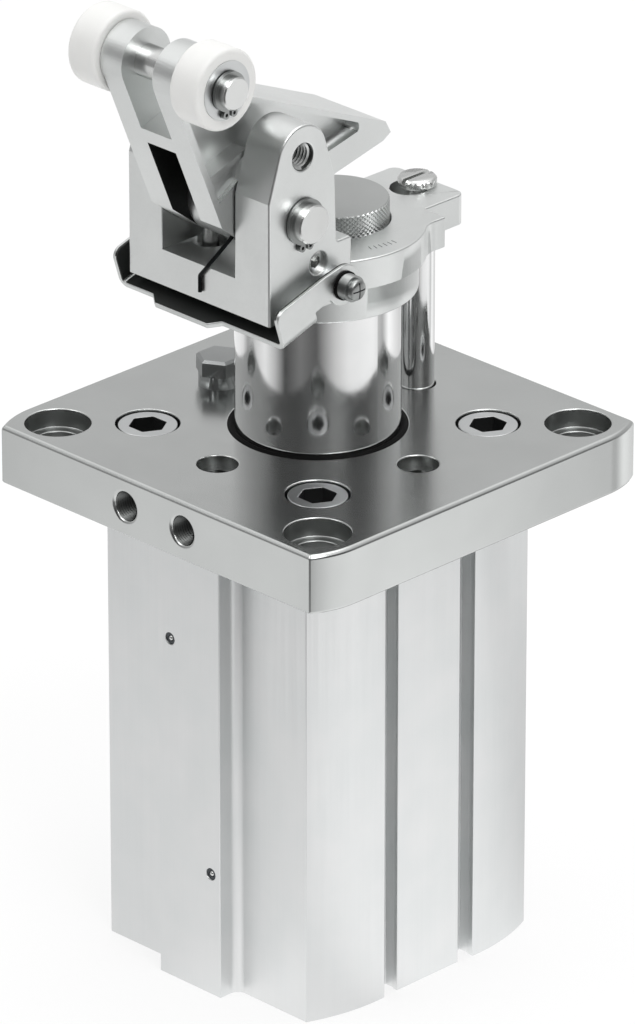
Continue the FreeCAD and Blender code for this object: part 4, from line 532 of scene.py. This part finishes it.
def layAcross(piece, side, look):
    piece.rotation_euler = (0, side * math.pi / 2, 0)
    piece.location = (0, look["axisY"] * mm, look["axisZ"] * mm)


def cutCross(screw, tip, look):
    reach = 2 * look["crossReach"]
    for wide, deep in ((look["crossWidth"], reach), (reach, look["crossWidth"])):
        deselectAll()
        bpy.ops.mesh.primitive_cube_add(size=1, location=(0, 0, tip))
        bar = bpy.context.object
        bar.scale = (wide * mm, deep * mm, 2 * look["crossDepth"] * mm)
        bpy.ops.object.transform_apply(location=True, scale=True)
        # The cut faces take the painted socket shade
        bar.data.materials.append(finishes["painted_socket_shade"])
        selectOnly(screw)
        useModifier(screw, "BOOLEAN", object=bar, operation="DIFFERENCE", solver="EXACT", material_mode="TRANSFER")
        bpy.data.objects.remove(bar)


def makeBracketScrews(look):
    rings = [step for index in range(look["rings"]) for step in
             ((look["ring"], look["collar"] - look["groove"]), (look["ring"], look["collar"]))]
    steps = look["shank"] + [(0, look["collar"])] + rings + look["neck"] + look["dome"]
    steps = [(rise * mm, radius * mm) for rise, radius in steps]
    tip = look["foot"] * mm + sum(rise for rise, radius in steps)
    shadowRingSize = look["shadowRingRadius"] * mm
    screws, shadowRings = [], []
    for side in (-1, 1):
        screw = turnUp((0, 0, look["foot"] * mm), look["footRadius"] * mm, steps, look["sides"])
        screw.data.materials.append(finishes["spring_steel"])
        screw.data.materials.append(finishes["painted_socket_shade"])
        cutCross(screw, tip, look)
        layAcross(screw, side, look)
        screws.append(screw)
        # A thin black rubber ring at each screw's foot stands for the shadow in the gap there: a painted shadow
        ring = turnUp((0, 0, look["shadowRingFoot"] * mm), shadowRingSize, [(look["shadowRingSize"] * mm, shadowRingSize)], look["sides"])
        layAcross(ring, side, look)
        shadowRings.append(ring)
    for pieces, name, slotName in ((screws, "bracketScrewsTurned", "bright_steel"),
                                   (shadowRings, "bracketScrewShadowRings", "black_rubber")):
        for piece in pieces:
            selectOnly(piece)
            bpy.ops.object.transform_apply(location=True, rotation=True)
        joinPieces(pieces)
        finishPiece(pieces[0], name, nodeBody["bracket_screws"], slotName)
    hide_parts("bracket_screws")


makeBracketScrews(bracketScrew)
print("bracket screws made")

# Stop bolt, its hexagon turned to show three flats and chamfered above
stopBolt = {"turn": math.radians(30), "chamfer": 0.8 * mm, "rim": 0.05 * mm}


def makeStopBolt(look):
    piece = startFrom("hex_stop_bolt", "hexStopBoltForged")
    low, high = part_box("hex_stop_bolt")
    middle = ((low[0] + high[0]) / 2, (low[1] + high[1]) / 2, high[2])
    pick(piece, edgeTest=lambda first, second: min(first.z, second.z) > high[2] - look["rim"])
    bpy.ops.mesh.bevel(offset=look["chamfer"], segments=1, clamp_overlap=False)
    bpy.ops.mesh.select_all(action="SELECT")
    bpy.ops.transform.rotate(value=look["turn"], orient_axis="Z", center_override=middle)
    piece.data.materials.clear()
    piece.data.materials.append(finishes["bolt_zinc"])
    finishPiece(piece, "hexStopBoltForged", nodeBody["hex_stop_bolt"], slotOf["hex_stop_bolt"])
    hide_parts("hex_stop_bolt")


makeStopBolt(stopBolt)

# Slotted screw of the guide post, its head raised a little more than in the solid
postHead = {"above": 235.35 * mm, "raise": 0.8 * mm}


def raisePostHead(look):
    piece = startFrom("guide_post_screw", "guidePostScrewTall")
    pick(piece, vertexTest=lambda place: place.z > look["above"])
    bpy.ops.transform.translate(value=(0, 0, look["raise"]))
    finishPiece(piece, "guidePostScrewTall", nodeBody["guide_post_screw"], slotOf["guide_post_screw"])
    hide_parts("guide_post_screw")


raisePostHead(postHead)

# Bright balls that close the drilled channels, seated in their black plugs
channelBall = {"radius": 0.9, "places": [(-8.0, -53.5, 113.39), (9.0, -53.5, 40.61)], "sides": 24, "rings": 16,
               "smooth": 60}


def makeChannelBalls(look):
    balls = []
    for place in look["places"]:
        deselectAll()
        bpy.ops.mesh.primitive_uv_sphere_add(segments=look["sides"], ring_count=look["rings"],
                                             radius=look["radius"] * mm, location=Vector(place) * mm)
        bpy.ops.object.transform_apply(location=True)
        balls.append(bpy.context.object)
    joinPieces(balls)
    finishPiece(balls[0], "channelBalls", nodeBody["channel_plugs"], "bright_steel", angle=look["smooth"])


makeChannelBalls(channelBall)
print("post screw and channel balls made")

# Knurled cap of the absorber
knurledCap = {"radius": 16.8 * mm, "taller": 0.7 * mm, "pitch": 1.7 * mm, "depth": 0.45 * mm, "rows": 10,
              "edge": 0.45 * mm, "slack": 0.1, "upright": 0.5, "smooth": 5}


def makeKnurledCap(look):
    low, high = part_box("knurled_cap")
    radius, edge = look["radius"], look["edge"]
    centre = Vector(((low[0] + high[0]) / 2, (low[1] + high[1]) / 2, low[2]))
    count = 2 * round(2 * math.pi * radius / look["pitch"])
    rowHeight = (high[2] + look["taller"] - low[2] - 2 * edge) / look["rows"]
    steps = [(edge, radius)] + [(rowHeight, radius)] * look["rows"] + [(edge, radius - edge)]
    cap = turnUp(centre, radius - edge, steps, count)

    def isHollow(place):
        # Every second crossing of the knurl lies deeper
        row = (place.z - low[2] - edge) / rowHeight
        if row < -look["slack"] or row > look["rows"] + look["slack"]:
            return False
        turn = math.atan2(place.y - centre.y, place.x - centre.x) / (2 * math.pi) * count
        return (round(row) + round(turn)) % 2 == 1

    pick(cap, vertexTest=isHollow)
    inward = 1 - look["depth"] / radius
    bpy.ops.transform.resize(value=(inward, inward, 1), center_override=centre)
    pick(cap, faceTest=lambda place, normal: abs(normal.z) < look["upright"])
    bpy.ops.mesh.quads_convert_to_tris(quad_method="SHORTEST_DIAGONAL")
    faceOutward()
    finishPiece(cap, "knurledCap", nodeBody["knurled_cap"], slotOf["knurled_cap"], angle=look["smooth"])
    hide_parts("knurled_cap")


makeKnurledCap(knurledCap)
print("knurled cap made")

# Threads, each a ridge wound in its hole or round its screw, in mm
threadLook = {"steps": 28, "smooth": 25}  # straight runs to a turn, and up to which angle they look round
threads = {  # root and crest radius, pitch, share of it the ridge takes, turns, start, way, body, finish
    "portThreadLeft": (4.45, 4.0, 0.907, 0.94, 9, (-12.1, -67.9, 159.9), "Y", "base", "machined_plate"),
    "portThreadRight": (4.45, 4.0, 0.907, 0.94, 9, (12.1, -67.9, 159.9), "Y", "base", "machined_plate"),
    "earThreadLeft": (4.05, 3.45, 1.25, 0.6, 9, (-28.6, -35.5, 274.4), "X", "rod", "cast_steel"),
    "earThreadRight": (4.05, 3.45, 1.25, 0.6, 9, (17.3, -35.5, 274.4), "X", "rod", "cast_steel"),
}
turnOf = {"X": (0, math.pi / 2, 0), "Y": (-math.pi / 2, 0, 0)}


def makeThread(name, root, crest, pitch, share, turns, start, way, body, slotName):
    deselectAll()
    side = pitch * mm
    bpy.ops.mesh.primitive_plane_add(size=side, location=(root * mm, 0, 0), rotation=(math.pi / 2, 0, 0))
    ridge = bpy.context.object
    bpy.ops.object.transform_apply(location=True, rotation=True)
    outward = 1 if crest > root else -1
    pick(ridge, vertexTest=lambda place: (place.x - root * mm) * outward > 0)
    bpy.ops.mesh.merge(type="CENTER")
    bpy.ops.mesh.select_all(action="SELECT")
    narrow = abs(crest - root) * mm / side
    bpy.ops.transform.resize(value=(narrow, 1, share), center_override=((root - outward * pitch / 2) * mm, 0, 0))
    bpy.ops.transform.translate(value=(outward * side / 2, 0, 0))
    bpy.ops.mesh.delete(type="ONLY_FACE")
    bpy.ops.object.mode_set(mode="OBJECT")
    useModifier(ridge, "SCREW", axis="Z", angle=2 * math.pi, screw_offset=side, iterations=turns,
                steps=threadLook["steps"], render_steps=threadLook["steps"])
    pick(ridge, vertexTest=lambda place: True)
    bpy.ops.mesh.fill_holes(sides=3)
    bpy.ops.mesh.normals_make_consistent(inside=False)
    bpy.ops.object.mode_set(mode="OBJECT")
    ridge.rotation_euler = turnOf[way]
    ridge.location = Vector(start) * mm
    # Port thread ridges are drawn in the painted grey shade; ear ridges keep the cast steel
    ridge.data.materials.append(finishes["painted_shade_grey" if slotName == "machined_plate" else slotName])
    finishPiece(ridge, name, body, slotName, angle=threadLook["smooth"])


for name, look in threads.items():
    makeThread(name, *look)
print("threads cut")

# Plain marks beside the cap
scaleMarks = {"count": 6, "first": -20.5, "step": 3.8, "inner": 24.8, "length": 2.2, "width": 0.28, "rise": 0.02,
              "belowScrew": 2.1}


def makeScaleMarks(look):
    low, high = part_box("knurled_cap")
    centre = Vector(((low[0] + high[0]) / 2, (low[1] + high[1]) / 2, 0))
    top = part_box("guide_post_screw")[1][2] - look["belowScrew"] * mm
    marks = []
    for index in range(look["count"]):
        deselectAll()
        turn = math.radians(look["first"] + index * look["step"])
        reach = (look["inner"] + look["length"] / 2) * mm
        place = centre + Vector((math.cos(turn) * reach, math.sin(turn) * reach, top))
        bpy.ops.mesh.primitive_plane_add(size=1, location=place, rotation=(0, 0, turn))
        mark = bpy.context.object
        mark.scale = (look["length"] * mm, look["width"] * mm, 1)
        bpy.ops.object.transform_apply(location=True, rotation=True, scale=True)
        pick(mark, faceTest=lambda place, normal: True)
        bpy.ops.mesh.extrude_region_move(TRANSFORM_OT_translate={"value": (0, 0, look["rise"] * mm)})
        faceOutward()
        marks.append(mark)
    joinPieces(marks)
    finishPiece(marks[0], "capScaleMarks", nodeBody["lever_housing"], "dark_steel")


makeScaleMarks(scaleMarks)
print("marks made")
